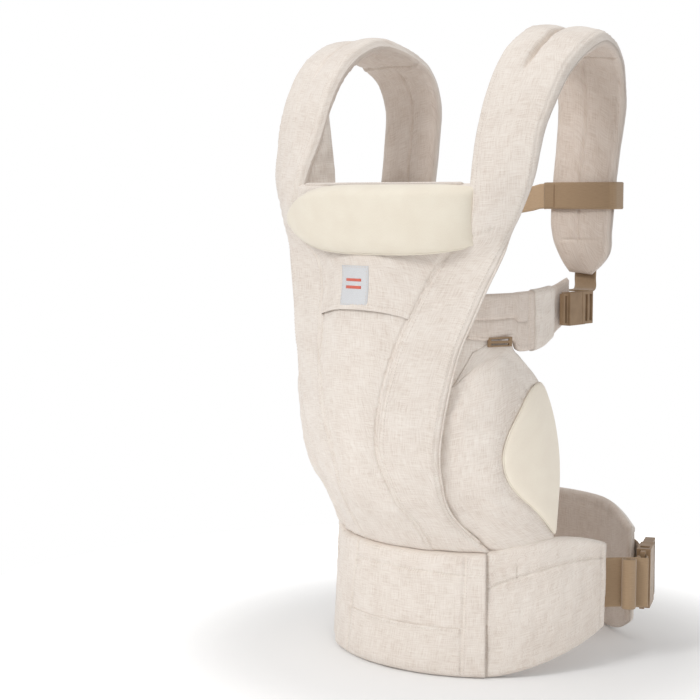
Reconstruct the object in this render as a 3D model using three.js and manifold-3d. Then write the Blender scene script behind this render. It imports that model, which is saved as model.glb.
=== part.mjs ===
// Soft baby carrier, standing on its closed waist belt. Millimetres, +Z up, front towards -Y.
// Pieces are laid out round the axis of the waist belt's ring, and then moved together by HOME.
// The pieces of the left side mirror the right ones.
import * as THREE from 'three';
import { mergeVertices } from 'three/addons/utils/BufferGeometryUtils.js';
import Module from 'manifold-3d';

const wasm = await Module();
wasm.setup();

// ---- driving dimensions ----
const GAP = 0.4;              // clearance kept between touching pieces
const SKIN = 1.2;             // thickness of a fabric skin
const BELT_R = 150;           // outer radius of the closed belt at its top
const BELT_FLARE = 6;         // how much wider the belt is at its foot
const BELT_H = 130;           // height of the belt
const BELT_FOAM = 9;          // foam inside the belt
const WING_END = 87;          // degrees from the front where a belt wing ends
const WING_RISE = 38;         // how far a wing's lower edge rises at its end
const FRONT_HALF = 36.5;      // half angle of the belt's front panel
const PAD_START = 124;        // degrees where the lumbar pad starts and, mirrored, ends
const BODY_FOAM = 6;          // wadding inside the front body
const STRAP_FOAM = 10;        // foam inside a shoulder strap
const WIDE_WEB = 50;          // waist webbing
const NARROW_WEB = 25;        // chest and arm webbing
const WEB_THICK = 1.6;
const BUCKLE_AT = 113;        // degrees round the belt of the waist buckle's parting face
const BUCKLE_R = 171;         // radius of the waist buckle's middle plane
const WAIST_Z = 80;           // height of the waist webbing's middle
const CHEST_Z = 462;          // height of the chest strap's middle
const CHEST_Y = 9;            // middle plane of the chest buckle, just behind its webbing
const CHEST_LOOP = [73, 148]; // inner and outer X of the chest strap's loop round a shoulder strap
const CHEST_END = 14;         // X where the chest webbing meets its buckle
const STRAP_BACK_Y = 18;      // outer face of the straps where they hang straight behind the shoulders
const FLAP_AXIS = [-187, 474]; // Y and Z of the fold line of the head support
const FLAP_HALF = 101;        // half width of the head support
const POCKET_Z = 352;         // height of the front pocket's opening
const BODY_TOP = 474;
const HOME = [-3.2, 34.75, 0]; // moves the belt ring so that the whole object's box is centred on the Z axis

// Front body rows from the belt up: height, centre Y, inner seam X and Y, outer edge X and Y.
const BODY_ROWS = [
  [131, -150, 41, -144, 90, -120],
  [150, -173, 40, -166, 74, -146],
  [170, -191, 34, -184, 72, -162],
  [192, -205, 31, -197, 75, -174],
  [220, -216, 28, -209, 80, -185],
  [255, -223, 33, -215, 87, -188],
  [290, -224, 40, -213, 94, -186],
  [322, -219, 47, -205, 101, -182],
  [350, -211, 54, -194, 110, -175],
  [378, -202, 62, -182, 119, -168],
  [402, -196, 74, -175, 128, -161],
  [424, -191, 96, -176, 137, -155],
  [446, -188, 104, -175, 147, -150],
  [478, -184, 103, -172, 158, -148],
];
const STRAP_ROOT = 424;       // height where the side bands end and the shoulder straps begin

// Right shoulder strap from its root, over the shoulder and down to its end: inner edge, outer edge.
const STRAP_ROWS = [
  [[97, -176, 427], [138, -155, 427]],
  [[104, -175, 446], [147, -150, 446]],
  [[103, -172, 478], [158, -148, 478]],
  [[97, -155, 522], [162, -140, 522]],
  [[97, -139, 556], [167, -126, 554]],
  [[97, -117, 587], [169, -107, 584]],
  [[96, -88, 612], [169, -82, 610]],
  [[94, -55, 625], [167, -52, 625]],
  [[88, -22, 619], [160, -20, 618]],
  [[80, 5, 600], [152, 5, 599]],
  [[76, 16, 575], [148, 16, 574]],
  [[75, STRAP_BACK_Y, 545], [146, STRAP_BACK_Y, 545]],
  [[75, STRAP_BACK_Y, 505], [146, STRAP_BACK_Y, 505]],
  [[75, STRAP_BACK_Y, 465], [146, STRAP_BACK_Y, 465]],
  [[75, STRAP_BACK_Y, 428], [146, STRAP_BACK_Y, 428]],
  [[80, 20, 408], [140, 20, 408]],
  [[88, 26, 386], [124, 26, 386]],
];

// Right seat side panel rows: four points from front to rear.
const SEAT_ROWS = [
  [[96, -115, 131], [111, -101, 131], [123, -86, 131], [134, -68, 131]],
  [[83, -136, 158], [112, -118, 158], [127, -92, 158], [129, -58, 158]],
  [[85, -158, 188], [114, -137, 188], [129, -100, 188], [126, -48, 188]],
  [[89, -170, 220], [117, -145, 220], [130, -101, 220], [124, -45, 220]],
  [[95, -174, 255], [119, -150, 255], [129, -110, 255], [124, -60, 255]],
  [[100, -172, 285], [117, -155, 285], [125, -129, 285], [123, -86, 285]],
  [[103, -168, 308], [111, -155, 308], [118, -140, 308], [122, -117, 308]],
];
const SEAT_FOAM = 6;
const TAB = [[110.5, -152], [121.5, -129]]; // plan line of the seat panel's top tab
const TAB_Z = [309.5, 330.5];

// Right arm strap: plan X and Y, lower edge and upper edge heights.
const ARM_ROWS = [
  [112, -156, 331, 372],
  [117.5, -139, 331.5, 372],
  [120.5, -123, 331.5, 372],
  [122, -113, 316, 372.5],
  [121, -78, 318, 373],
  [118, -46, 330, 376],
  [113, -15, 341, 382],
];
const ARM_THICK = 7;
const ARM_BUCKLE = [126, -21, 353];

// ---- materials ----
const LINEN = { color: 0xe9e1d6, roughness: 0.95, metalness: 0 };
const COTTON = { color: 0xf1e9d4, roughness: 0.85, metalness: 0 };
const LINING = { color: 0xe6dccf, roughness: 0.95, metalness: 0 };
const FOAM = { color: 0xf4f1ea, roughness: 1, metalness: 0 };
const WEBBING = { color: 0xa78c69, roughness: 0.8, metalness: 0 };
const PLASTIC = { color: 0x9b7d58, roughness: 0.5, metalness: 0 };
const LABEL = { color: 0xe8e8e8, roughness: 0.8, metalness: 0 };

// ---- helpers ----
const carrier = new THREE.Group();

function addMesh(name, geometry, look, parent = carrier) {
  const mesh = new THREE.Mesh(geometry, new THREE.MeshStandardMaterial(look));
  mesh.name = name;
  parent.add(mesh);
  return mesh;
}

function mirrored(geometry) {
  const copy = geometry.clone();
  const at = copy.getAttribute('position');
  for (let i = 0; i < at.count; i += 1) {
    at.setX(i, -at.getX(i));
  }
  const index = copy.index.array;
  for (let i = 0; i < index.length; i += 3) {
    [index[i], index[i + 1]] = [index[i + 1], index[i]];
  }
  return copy;
}

// The right piece and its mirror image, named with _right and _left.
function addPair(name, geometry, look) {
  addMesh(`${name}_right`, geometry, look);
  addMesh(`${name}_left`, mirrored(geometry), look);
}

function throughPoints(points, t) {
  return new THREE.CatmullRomCurve3(points, false, 'catmullrom', 0.5).getPoint(t);
}

// A smooth surface through rows of points: u runs along a row and v from row to row, both 0 to 1.
function surfaceOf(rows) {
  const columns = rows[0].map((_, j) => new THREE.CatmullRomCurve3(
    rows.map((row) => new THREE.Vector3(...row[j])), false, 'catmullrom', 0.5));
  return (u, v) => throughPoints(columns.map((curve) => curve.getPoint(v)), u);
}

// The unit normal of a surface, or its level direction, which keeps a layer's rims at even heights.
function normalAt(surface, u, v, level = false) {
  const d = 0.002;
  const u0 = Math.max(0, u - d);
  const u1 = Math.min(1, u + d);
  const v0 = Math.max(0, v - d);
  const v1 = Math.min(1, v + d);
  const along = surface(u1, v).sub(surface(u0, v));
  const up = surface(u, v1).sub(surface(u, v0));
  const normal = along.cross(up);
  if (level) {
    normal.z = 0;
  }
  return normal.normalize();
}

// Evenly spaced values from one number to another.
function spread(from, to, count) {
  return Array.from({ length: count + 1 }, (_, k) => from + (to - from) * (k / count));
}

// A closed layer of a surface between two offsets along its normal. us and vs list where it is sampled,
// and us may be a function of v. Layers that lie on each other share their sampling, so they stay parallel.
function layer(surface, us, vs, low, high, level = false) {
  const across = typeof us === 'function' ? us : () => us;
  const nu = across(vs[0]).length - 1;
  const nv = vs.length - 1;
  const points = [];
  for (const offset of [low, high]) {
    for (const v of vs) {
      for (const u of across(v)) {
        const p = surface(u, v).addScaledVector(normalAt(surface, u, v, level), offset);
        points.push(p.x, p.y, p.z);
      }
    }
  }
  const id = (side, i, j) => side * (nu + 1) * (nv + 1) + j * (nu + 1) + i;
  const faces = [];
  const quad = (a, b, c, d) => faces.push(a, b, c, a, c, d);
  for (let j = 0; j < nv; j += 1) {
    for (let i = 0; i < nu; i += 1) {
      quad(id(1, i, j), id(1, i + 1, j), id(1, i + 1, j + 1), id(1, i, j + 1));
      quad(id(0, i, j), id(0, i, j + 1), id(0, i + 1, j + 1), id(0, i + 1, j));
    }
  }
  for (let i = 0; i < nu; i += 1) {
    quad(id(0, i, 0), id(0, i + 1, 0), id(1, i + 1, 0), id(1, i, 0));
    quad(id(1, i, nv), id(1, i + 1, nv), id(0, i + 1, nv), id(0, i, nv));
  }
  for (let j = 0; j < nv; j += 1) {
    quad(id(1, 0, j), id(1, 0, j + 1), id(0, 0, j + 1), id(0, 0, j));
    quad(id(0, nu, j), id(0, nu, j + 1), id(1, nu, j + 1), id(1, nu, j));
  }
  const geometry = new THREE.BufferGeometry();
  geometry.setAttribute('position', new THREE.Float32BufferAttribute(points, 3));
  geometry.setIndex(faces);
  return geometry;
}

function onRing(degrees, z, radius) {
  const angle = THREE.MathUtils.degToRad(degrees);
  return new THREE.Vector3(radius * Math.sin(angle), -radius * Math.cos(angle), z);
}

function toSolid(geometry) {
  const bare = geometry.clone();
  bare.deleteAttribute('normal');
  bare.deleteAttribute('uv');
  const merged = mergeVertices(bare, 1e-4);
  return new wasm.Manifold(new wasm.Mesh({
    numProp: 3,
    vertProperties: new Float32Array(merged.attributes.position.array),
    triVerts: new Uint32Array(merged.index.array),
  }));
}

function toGeometry(solid) {
  const mesh = solid.getMesh();
  const geometry = new THREE.BufferGeometry();
  geometry.setAttribute('position', new THREE.Float32BufferAttribute(mesh.vertProperties, 3));
  geometry.setIndex([...mesh.triVerts]);
  return geometry;
}

// A box between two corners, as a solid for joining and cutting.
function block(low, high) {
  const size = high.map((value, k) => value - low[k]);
  const geometry = new THREE.BoxGeometry(...size);
  geometry.translate(...low.map((value, k) => value + size[k] / 2));
  return toSolid(geometry);
}

// ---- waist belt ----
// The lower edge stays flat under the front panel and rises smoothly towards the end of a wing.
function beltLowerEdge(degrees) {
  const beyond = Math.max(0, Math.abs(degrees) - FRONT_HALF) / (WING_END - FRONT_HALF);
  return WING_RISE * beyond ** 1.4;
}

function beltSurface(from, to, bottomLift = 0) {
  return (u, v) => {
    const degrees = from + (to - from) * u;
    const low = beltLowerEdge(degrees) + bottomLift;
    return onRing(degrees, low + (BELT_H - low) * v, BELT_R + BELT_FLARE * (1 - v));
  };
}

function addBelt() {
  const skinLift = 0.5;
  const foamTop = -SKIN - GAP;
  const foamBottom = foamTop - BELT_FOAM;
  const liningTop = foamBottom - GAP;
  const seam = 0.002;
  const whole = beltSurface(-WING_END, WING_END);
  const lifted = beltSurface(-WING_END, WING_END, skinLift);
  const frontEdge = (WING_END - FRONT_HALF) / (2 * WING_END);
  const wingLeft = spread(0, frontEdge, 9);
  const middle = spread(frontEdge, 1 - frontEdge, 12);
  const wingRight = spread(1 - frontEdge, 1, 9);
  const all = [...wingLeft, ...middle.slice(1, -1), ...wingRight];
  const rise = [0, 1];
  addMesh('belt_foam', layer(whole, all, rise, foamBottom, foamTop, true), FOAM);
  addMesh('belt_front_cover', layer(lifted, middle, rise, -SKIN, 0, true), LINEN);
  const wings = {
    right: [wingRight[0] + seam, ...wingRight.slice(1)],
    left: [...wingLeft.slice(0, -1), wingLeft[9] - seam],
  };
  for (const [side, wing] of Object.entries(wings)) {
    addMesh(`belt_wing_cover_${side}`, layer(lifted, wing, rise, -SKIN, 0, true), LINEN);
  }
  addMesh('belt_lining', layer(lifted, all, rise, liningTop - SKIN, liningTop, true), LINING);
  const pocketHeight = [0.04, 0.4];
  const pocket = layer(lifted, middle.slice(1, -2), pocketHeight, GAP, GAP + SKIN, true);
  addMesh('belt_pocket_panel', pocket, LINEN);
}

// The pad's corners are cut back towards its two ends.
function addLumbarPad() {
  const height = (degrees) => {
    const inwards = Math.min(1, (180 - PAD_START - Math.abs(180 - degrees)) / 16);
    return [24 * (1 - inwards) ** 2, 128 - 8 * (1 - inwards) ** 2];
  };
  const pad = (lift) => (u, v) => {
    const degrees = PAD_START + (360 - 2 * PAD_START) * u;
    const [low, high] = height(degrees);
    return onRing(degrees, low + lift + (high - low - lift) * v, BELT_R);
  };
  const foamTop = -SKIN - GAP;
  const across = spread(0, 1, 18);
  addMesh('lumbar_pad_foam', layer(pad(0), across, [0, 1], foamTop - BELT_FOAM, foamTop), FOAM);
  addMesh('lumbar_pad_cover', layer(pad(0.5), across, [0, 1], -SKIN, 0), LINEN);
}

// ---- front body ----
function bodySurface() {
  const rows = BODY_ROWS.map(([z, cy, ix, iy, ox, oy]) => [
    [-ox, oy, z], [-ix, iy, z], [0, cy, z], [ix, iy, z], [ox, oy, z],
  ]);
  return surfaceOf(rows);
}

// The v of the body surface at a height, by bisection, because height only grows with v.
function bodyV(surface, z) {
  let low = 0;
  let high = 1;
  for (let k = 0; k < 40; k += 1) {
    const middle = (low + high) / 2;
    if (surface(0.5, middle).z < z) {
      low = middle;
    } else {
      high = middle;
    }
  }
  return (low + high) / 2;
}

function addBody() {
  const surface = bodySurface();
  const top = bodyV(surface, BODY_TOP);
  const root = bodyV(surface, STRAP_ROOT);
  const pocket = bodyV(surface, POCKET_Z);
  const foamTop = -SKIN - GAP;
  const foamBottom = foamTop - BODY_FOAM;
  const liningTop = foamBottom - GAP;
  const seam = 0.003;
  const across = spread(0, 1, 12);
  const centre = [across[3] + seam, ...across.slice(4, 9), across[9] - seam];
  const bands = {
    right: [across[9] + seam, ...across.slice(10)],
    left: [...across.slice(0, 3), across[3] - seam],
  };
  const lower = spread(0.002, pocket, 9);
  const upper = spread(pocket, root, 3);
  const whole = [...lower, ...upper.slice(1)];
  addMesh('body_wadding', layer(surface, across, whole, foamBottom, foamTop, true), FOAM);
  addMesh('body_lining', layer(surface, across, whole, liningTop - SKIN, liningTop, true), LINING);
  const belowPocket = [...lower.slice(0, -1), pocket - seam];
  addMesh('front_lower_panel', layer(surface, centre, belowPocket, -SKIN, 0, true), LINEN);
  addMesh('front_pocket_panel', layer(surface, centre, upper, -SKIN, 0, true), LINEN);
  for (const [side, band] of Object.entries(bands)) {
    addMesh(`side_band_${side}`, layer(surface, band, whole, -SKIN, 0, true), LINEN);
  }
  const yokeAcross = [across[3] + 4 * seam, ...across.slice(4, 9), across[9] - 4 * seam];
  const yoke = layer(surface, yokeAcross, spread(root + seam, top, 3), -SKIN - BODY_FOAM, 0, true);
  addMesh('upper_yoke', yoke, LINEN);
  const labelRows = [bodyV(surface, 357), bodyV(surface, 396)];
  addMesh('label', layer(surface, spread(0.41, 0.53, 2), labelRows, 1, 1.8, true), LABEL);
}

// ---- shoulder straps ----
function addStraps() {
  const surface = surfaceOf(STRAP_ROWS);
  const along = spread(0, 1, 30);
  const across = spread(0, 1, 2);
  const foamTop = -SKIN - GAP;
  const foamBottom = foamTop - STRAP_FOAM;
  const liningTop = foamBottom - GAP;
  addPair('strap_cover', layer(surface, across, along, -SKIN, 0), LINEN);
  addPair('strap_foam', layer(surface, across, along, foamBottom, foamTop), FOAM);
  addPair('strap_lining', layer(surface, across, along, liningTop - SKIN, liningTop), LINING);
}

// A small web of fabric behind the inner edge of each strap's root.
function addGussets() {
  const rows = [
    [[97, -158, 430], [95, -128, 430]],
    [[98, -157, 478], [96, -122, 478]],
    [[93, -139, 524], [93, -137, 524]],
  ];
  addPair('neck_gusset', layer(surfaceOf(rows), [0, 1], spread(0, 1, 4), -2, 0), LINING);
}

// ---- seat sides ----
// The cream insert takes the rear of the panel between two heights, and its front edge is an arc.
function addSeatSides() {
  const surface = surfaceOf(SEAT_ROWS);
  const insertFrom = 0.05;
  const insertTo = 0.86;
  const depth = 0.62;
  const edge = (v) => {
    const along = (v - insertFrom) / (insertTo - insertFrom);
    const inside = along > 0 && along < 1 ? Math.sin(Math.PI * along) ** 0.8 : 0;
    return 1 - depth * inside;
  };
  const foam = -SEAT_FOAM - SKIN;
  const seam = 0.004;
  const panelAcross = (v) => spread(0, edge(v) - seam, 6);
  addPair('seat_side_panel', layer(surface, panelAcross, spread(0.002, 1, 16), foam, 0, true), LINEN);
  const insertAcross = (v) => spread(edge(v) + seam, 1, 3);
  const insertRows = spread(insertFrom + 0.05, insertTo - 0.05, 10);
  addPair('seat_insert', layer(surface, insertAcross, insertRows, foam, 0, true), COTTON);
  const tab = (u, v) => new THREE.Vector3(
    TAB[0][0] + (TAB[1][0] - TAB[0][0]) * u,
    TAB[0][1] + (TAB[1][1] - TAB[0][1]) * u,
    TAB_Z[0] + (TAB_Z[1] - TAB_Z[0]) * v);
  addPair('seat_tab', layer(tab, [0, 1], [0, 1], -3, 0), LINEN);
  addSliders(tab);
}

// A two-slot slider that lies on the outside of the tab.
function addSliders(tab) {
  const [length, height, thick] = [25, 9, 3];
  let plate = block([-length / 2, 0, -height / 2], [length / 2, thick, height / 2]);
  for (const z of [-2.1, 2.1]) {
    plate = plate.subtract(block([-length / 2 + 3, -1, z - 0.8], [length / 2 - 3, thick + 1, z + 0.8]));
  }
  const geometry = toGeometry(plate);
  const outwards = normalAt(tab, 0.5, 0.5);
  const at = tab(0.5, 0.5).addScaledVector(outwards, GAP);
  geometry.rotateZ(Math.atan2(-outwards.x, outwards.y));
  geometry.translate(at.x, at.y, TAB_Z[1] - height / 2 - 1);
  addPair('seat_slider', geometry, PLASTIC);
}

// ---- arm straps ----
function armSurface() {
  return surfaceOf([
    ARM_ROWS.map(([x, y, low]) => [x, y, low]),
    ARM_ROWS.map(([x, y, , high]) => [x, y, high]),
  ]);
}

function addArmStraps() {
  const surface = armSurface();
  const along = spread(0, 1, 18);
  addPair('arm_strap', layer(surface, along, [0, 1], -ARM_THICK, 0), LINEN);
  addPair('arm_keeper', layer(surface, along.slice(11, 15), [0, 1], GAP, GAP + SKIN), LINEN);
  const web = surfaceOf([
    [[103, -6, 371], [128, -6, 371]],
    [[101, 12, 373], [126, 12, 373]],
    [[96, 21, 378], [121, 21, 378]],
    [[94, 24, 384], [119, 24, 384]],
  ]);
  addPair('arm_webbing', layer(web, [0, 1], spread(0, 1, 6), 0, WEB_THICK), WEBBING);
}

// ---- side-release buckles ----
// Local axes: X along the pull, towards the loose end; Y through the thickness; Z along the width.
function buckleSizes(web) {
  const wide = web > 30;
  return {
    half: web / 2 + (wide ? 5 : 3.5),
    thick: wide ? 14 : 10.5,
    reach: wide ? 26 : 19,
    socket: wide ? 30 : 22,
    bar: wide ? 9 : 7,
    ladder: wide ? 24 : 17,
    wall: wide ? 2.4 : 2,
  };
}

function femaleHalf(web) {
  const s = buckleSizes(web);
  const y = s.thick / 2;
  let solid = block([-s.socket, -y, -s.half], [0, y, s.half]);
  solid = solid.subtract(block(
    [-s.socket + s.wall, -y + s.wall, -s.half + s.wall], [1, y - s.wall, s.half - s.wall]));
  const window = [-s.reach + 3, -s.reach + 11];
  solid = solid.subtract(block(
    [window[0], -y + s.wall, -s.half - 1], [window[1], y - s.wall, s.half + 1]));
  let bar = block([-s.socket - s.bar, -2.5, -s.half + 1], [-s.socket + 1, 2.5, s.half - 1]);
  bar = bar.subtract(block([-s.socket - s.bar + 3, -3, -web / 2 - 0.5], [-s.socket - 1, 3, web / 2 + 0.5]));
  return toGeometry(solid.add(bar));
}

function maleHalf(web) {
  const s = buckleSizes(web);
  const y = s.thick / 2;
  let solid = block([GAP, -y, -s.half], [6, y, s.half]);
  const frame = block([5, -y + 2, -s.half], [6 + s.ladder, y - 1.5, s.half]);
  solid = solid.add(frame);
  for (const x of [8.5, 8.5 + s.ladder / 2]) {
    solid = solid.subtract(block([x, -y - 1, -web / 2 - 0.5], [x + s.ladder / 2 - 4, y + 1, web / 2 + 0.5]));
  }
  const guide = block([-s.reach + 4, -1.5, -2.2], [1, 1.5, 2.2]);
  return toGeometry(solid.add(guide));
}

// One prong on the +Z side: an arm with a thicker nib at its tip.
function prong(web) {
  const s = buckleSizes(web);
  const outer = s.half - s.wall - 0.5;
  const y = s.thick / 2 - s.wall - 0.5;
  const arm = block([-s.reach, -y, outer - 4.2], [-GAP, y, outer - 1.2]);
  const nib = block([-s.reach, -y, outer - 5.4], [-s.reach + 7, y, outer]);
  return toGeometry(arm.add(nib));
}

function addBuckle(name, web, position, turn) {
  const group = new THREE.Group();
  group.position.set(...position);
  group.rotation.z = THREE.MathUtils.degToRad(turn);
  carrier.add(group);
  addMesh(`${name}_female`, femaleHalf(web), PLASTIC, group);
  addMesh(`${name}_male`, maleHalf(web), PLASTIC, group);
  addMesh(`${name}_prong_upper`, prong(web), PLASTIC, group);
  const lower = prong(web);
  lower.rotateX(Math.PI);
  addMesh(`${name}_prong_lower`, lower, PLASTIC, group);
}

function addBuckles() {
  const at = onRing(BUCKLE_AT, WAIST_Z, BUCKLE_R);
  addBuckle('waist_buckle', WIDE_WEB, [at.x, at.y, at.z], BUCKLE_AT);
  addBuckle('chest_buckle', NARROW_WEB, [0, CHEST_Y, CHEST_Z], 0);
  addBuckle('arm_buckle_right', NARROW_WEB, ARM_BUCKLE, 90);
  addBuckle('arm_buckle_left', NARROW_WEB, [-ARM_BUCKLE[0], ARM_BUCKLE[1], ARM_BUCKLE[2]], 90);
}

// ---- waist webbing ----
function webOnRing(path, low, high, steps) {
  const curve = new THREE.CatmullRomCurve3(path.map(([degrees, r]) => onRing(degrees, 0, r)));
  const surface = (u, v) => {
    const p = curve.getPoint(u);
    return new THREE.Vector3(p.x, p.y, low + (high - low) * v);
  };
  return layer(surface, spread(0, 1, steps), [0, 1], 0, WEB_THICK);
}

function addWaistWebbing() {
  const low = WAIST_Z - WIDE_WEB / 2;
  const high = WAIST_Z + WIDE_WEB / 2;
  const short = [[87.8, 146], [91, 149.5], [95, 157.5], [99, 166.5]];
  addMesh('waist_webbing_right', webOnRing(short, low, high, 6), WEBBING);
  const around = [];
  const webR = BELT_R + 3;
  around.push([117, 160.5], [121, 158.5]);
  for (let degrees = 128; degrees <= 258; degrees += 10) {
    around.push([degrees, webR]);
  }
  around.push([265, 150.5], [272, 146.5]);
  addMesh('waist_webbing_left', webOnRing(around, low, high, 30), WEBBING);
}

// ---- chest strap: a loop round each strap and webbing to the buckle ----
function addChestStrap() {
  const low = CHEST_Z - NARROW_WEB / 2;
  const high = CHEST_Z + NARROW_WEB / 2;
  const slack = 1.5;
  const strapDepth = 2 * SKIN + 2 * GAP + STRAP_FOAM;
  const back = STRAP_BACK_Y + slack;
  const front = STRAP_BACK_Y - strapDepth - slack;
  const [left, right] = CHEST_LOOP;
  const outside = [[left - WEB_THICK, front - WEB_THICK, low], [right + WEB_THICK, back + WEB_THICK, high]];
  const inside = [[left, front, low - 1], [right, back, high + 1]];
  const ring = block(...outside).subtract(block(...inside));
  const joining = block([CHEST_END, front - WEB_THICK, low], [left + 1, front, high]);
  addPair('chest_strap', toGeometry(ring.add(joining)), WEBBING);
}

// ---- head support ----
function addHeadSupport() {
  const outline = (x) => {
    const far = Math.abs(x) / FLAP_HALF;
    return [405 + 32 * far ** 2.6, 472 - 28 * far ** 6];
  };
  const surface = (u, v) => {
    const x = FLAP_HALF * (2 * u - 1);
    const [low, high] = outline(x);
    const z = low + (high - low) * v;
    const crown = 5 * Math.sin(Math.PI * Math.min(1, Math.max(0, v)));
    return new THREE.Vector3(x, -202 + 22 * (x / FLAP_HALF) ** 2 - crown, z);
  };
  const foam = 5;
  const across = spread(0, 1, 12);
  const rows = spread(0, 1, 5);
  addMesh('head_support_cover', layer(surface, across, rows, -SKIN, 0), COTTON);
  addMesh('head_support_wadding', layer(surface, across, rows, -SKIN - GAP - foam, -SKIN - GAP), FOAM);
}

addBelt();
addLumbarPad();
addBody();
addStraps();
addGussets();
addSeatSides();
addArmStraps();
addBuckles();
addWaistWebbing();
addChestStrap();
addHeadSupport();
carrier.position.set(...HOME);

export default carrier;
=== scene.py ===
"""The looks of a soft baby carrier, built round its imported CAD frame.

+Z is up and the front looks towards -Y. Shapes are worked out in mm and become metres in finished meshes."""
import math

import bmesh
import bpy
import numpy as np
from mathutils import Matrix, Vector


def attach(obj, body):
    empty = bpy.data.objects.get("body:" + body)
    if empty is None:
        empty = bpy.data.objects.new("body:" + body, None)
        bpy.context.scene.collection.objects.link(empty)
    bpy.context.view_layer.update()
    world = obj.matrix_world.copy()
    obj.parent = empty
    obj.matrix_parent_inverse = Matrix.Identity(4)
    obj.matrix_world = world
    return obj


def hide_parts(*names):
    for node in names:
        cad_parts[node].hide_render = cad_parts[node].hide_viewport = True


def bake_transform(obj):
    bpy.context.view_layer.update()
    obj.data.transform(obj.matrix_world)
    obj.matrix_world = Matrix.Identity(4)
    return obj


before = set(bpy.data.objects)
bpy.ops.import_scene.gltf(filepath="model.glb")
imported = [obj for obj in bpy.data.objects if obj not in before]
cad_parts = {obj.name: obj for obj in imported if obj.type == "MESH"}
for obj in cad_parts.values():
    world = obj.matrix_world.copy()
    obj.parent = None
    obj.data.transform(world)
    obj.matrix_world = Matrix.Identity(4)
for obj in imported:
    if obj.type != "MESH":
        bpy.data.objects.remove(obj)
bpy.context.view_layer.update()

MM = 0.001
HOME = np.array([-3.2, 34.75, 0.0])    # moves the belt ring's axis to its place in the frame, mm

# ---- driving sizes, close to those of the CAD model, mm ----
BELT_R = 150
BELT_FLARE = 6
BELT_FRONT_TOP = 121.5
BELT_DEPTH = 12.2
WING_END = 87
WING_RISE = 38
FRONT_HALF = 36.5
PAD_START = 122
BODY_DEPTH = 9.0
STRAP_DEPTH = 13.2
WIDE_WEB = 50
NARROW_WEB = 25
WEB_THICK = 1.6
BUCKLE_AT = 113
BUCKLE_R = 171
WAIST_Z = 80
CHEST_Z = 462
STRAP_BACK_Y = 18
FLAP_HALF = 104.5
POCKET_Z = 352
BODY_TOP = 474

# ---- sizes of the looks alone ----
CHEST_SAG = 6                       # how much lower the chest buckle hangs than in the CAD, mm
LABEL_LOW = (0.412, 0.562)          # u of the label's two sides on the body, at its lower edge
LABEL_TOP = (0.403, 0.528)          # and at its upper edge
OVERLAP_FROM = 72                   # the doubled chest webbing starts at this distance from the middle, mm
OVERLAP_TO = 0.61                   # and ends at this share of the loop's length
OVERLAP_WIDE = 26.5
OVERLAP_PROUD = 1.5
OVERLAP_STITCH = 85
INSERT_FROM = 0.03                  # v of the seat insert's lower and upper end on the seat side
INSERT_TO = 0.63
INSERT_DEPTH = 0.62                 # how far its arc reaches in, as a share of the panel beside the band
BEVEL_STEPS = 3

# The seams and edges in the tables below follow points that a helper script had computed, see report.md.

# Front body rows from the belt up: height, centre Y, inner seam X and Y, outer edge X and Y.
BODY_ROWS = [
    (119, -148, 42, -142, 92, -116),
    (150, -173, 40, -166, 74, -146),
    (170, -191, 34, -184, 72, -162),
    (192, -205, 31, -197, 75, -174),
    (220, -216, 28, -209, 80, -185),
    (255, -223, 33, -215, 87, -188),
    (290, -224, 40, -213, 94, -186),
    (322, -219, 47, -205, 101, -182),
    (350, -211, 54, -194, 110, -175),
    (378, -202, 62, -182, 119, -168),
    (402, -196, 74, -175, 128, -161),
    (424, -191, 96, -176, 137, -155),
    (446, -188, 104, -175, 147, -150),
    (478, -184, 103, -172, 158, -148),
]

# Right shoulder strap above its root, over the shoulder and down to its end: inner edge, outer edge.
STRAP_ROWS = [
    ((96, -155, 522), (163, -140, 522)),
    ((95.5, -140, 557), (167, -126, 554)),
    ((95, -118, 589), (169, -107, 584)),
    ((94, -89, 611), (169, -82, 607)),
    ((92, -56, 622), (167, -52, 620)),
    ((86, -22, 617), (161, -19, 614)),
    ((79, 9, 600), (153, 10, 596)),
    ((76, 24, 577), (149, 24, 573)),
    ((75, 29, 547), (148, 29, 545)),
    ((75, 24, 506), (147, 24, 505)),
    ((75, STRAP_BACK_Y, 465), (146, STRAP_BACK_Y, 465)),
    ((76, 16, 428), (144, 16, 428)),
    ((83, 17, 408), (141, 17, 405)),
    ((94, 24, 388), (118, 24, 386)),
]

# How the right strap leans over the shoulder, by row: inner edge up, outer edge down, and wider by, mm.
STRAP_TILT = {
    0: (0, 0, -2), 1: (0, 1, -2), 2: (0, 4, -1), 3: (-1, 7, 2), 4: (0, 8, 5),
    5: (1, 7, 5), 6: (2, 3, 4), 7: (2, 0, 3), 8: (0, 0, 2),
}

# Right seat side panel rows: four points from front to rear.
SEAT_ROWS = [
    ((98, -111, 122), (112, -98, 124), (123, -84, 127), (133, -67, 129)),
    ((83, -136, 158), (112, -118, 158), (127, -92, 158), (129, -58, 158)),
    ((85, -158, 188), (114, -137, 188), (129, -100, 188), (126, -51, 188)),
    ((89, -170, 220), (117, -145, 220), (130, -101, 220), (124, -51, 220)),
    ((95, -174, 255), (119, -150, 255), (129, -110, 255), (124, -62, 255)),
    ((100, -170, 280), (117, -154, 284), (125, -127, 285), (123, -79, 285)),
    ((103, -165, 299), (111, -154, 304), (118, -137, 307), (122, -106, 308)),
]
SEAT_DEPTH = 7.2
TAB_DEPTH = 2.2

# Right arm strap: plan X and Y, lower edge and upper edge heights.
ARM_ROWS = [
    (105.5, -174, 331, 372),
    (112, -156, 329, 372),
    (117.5, -139, 328.5, 372),
    (120.5, -123, 327.5, 372),
    (122, -113, 317, 372.5),
    (121, -78, 318, 373),
    (118, -46, 330, 376),
    (113, -15, 341, 382),
]
ARM_THICK = 7


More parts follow.
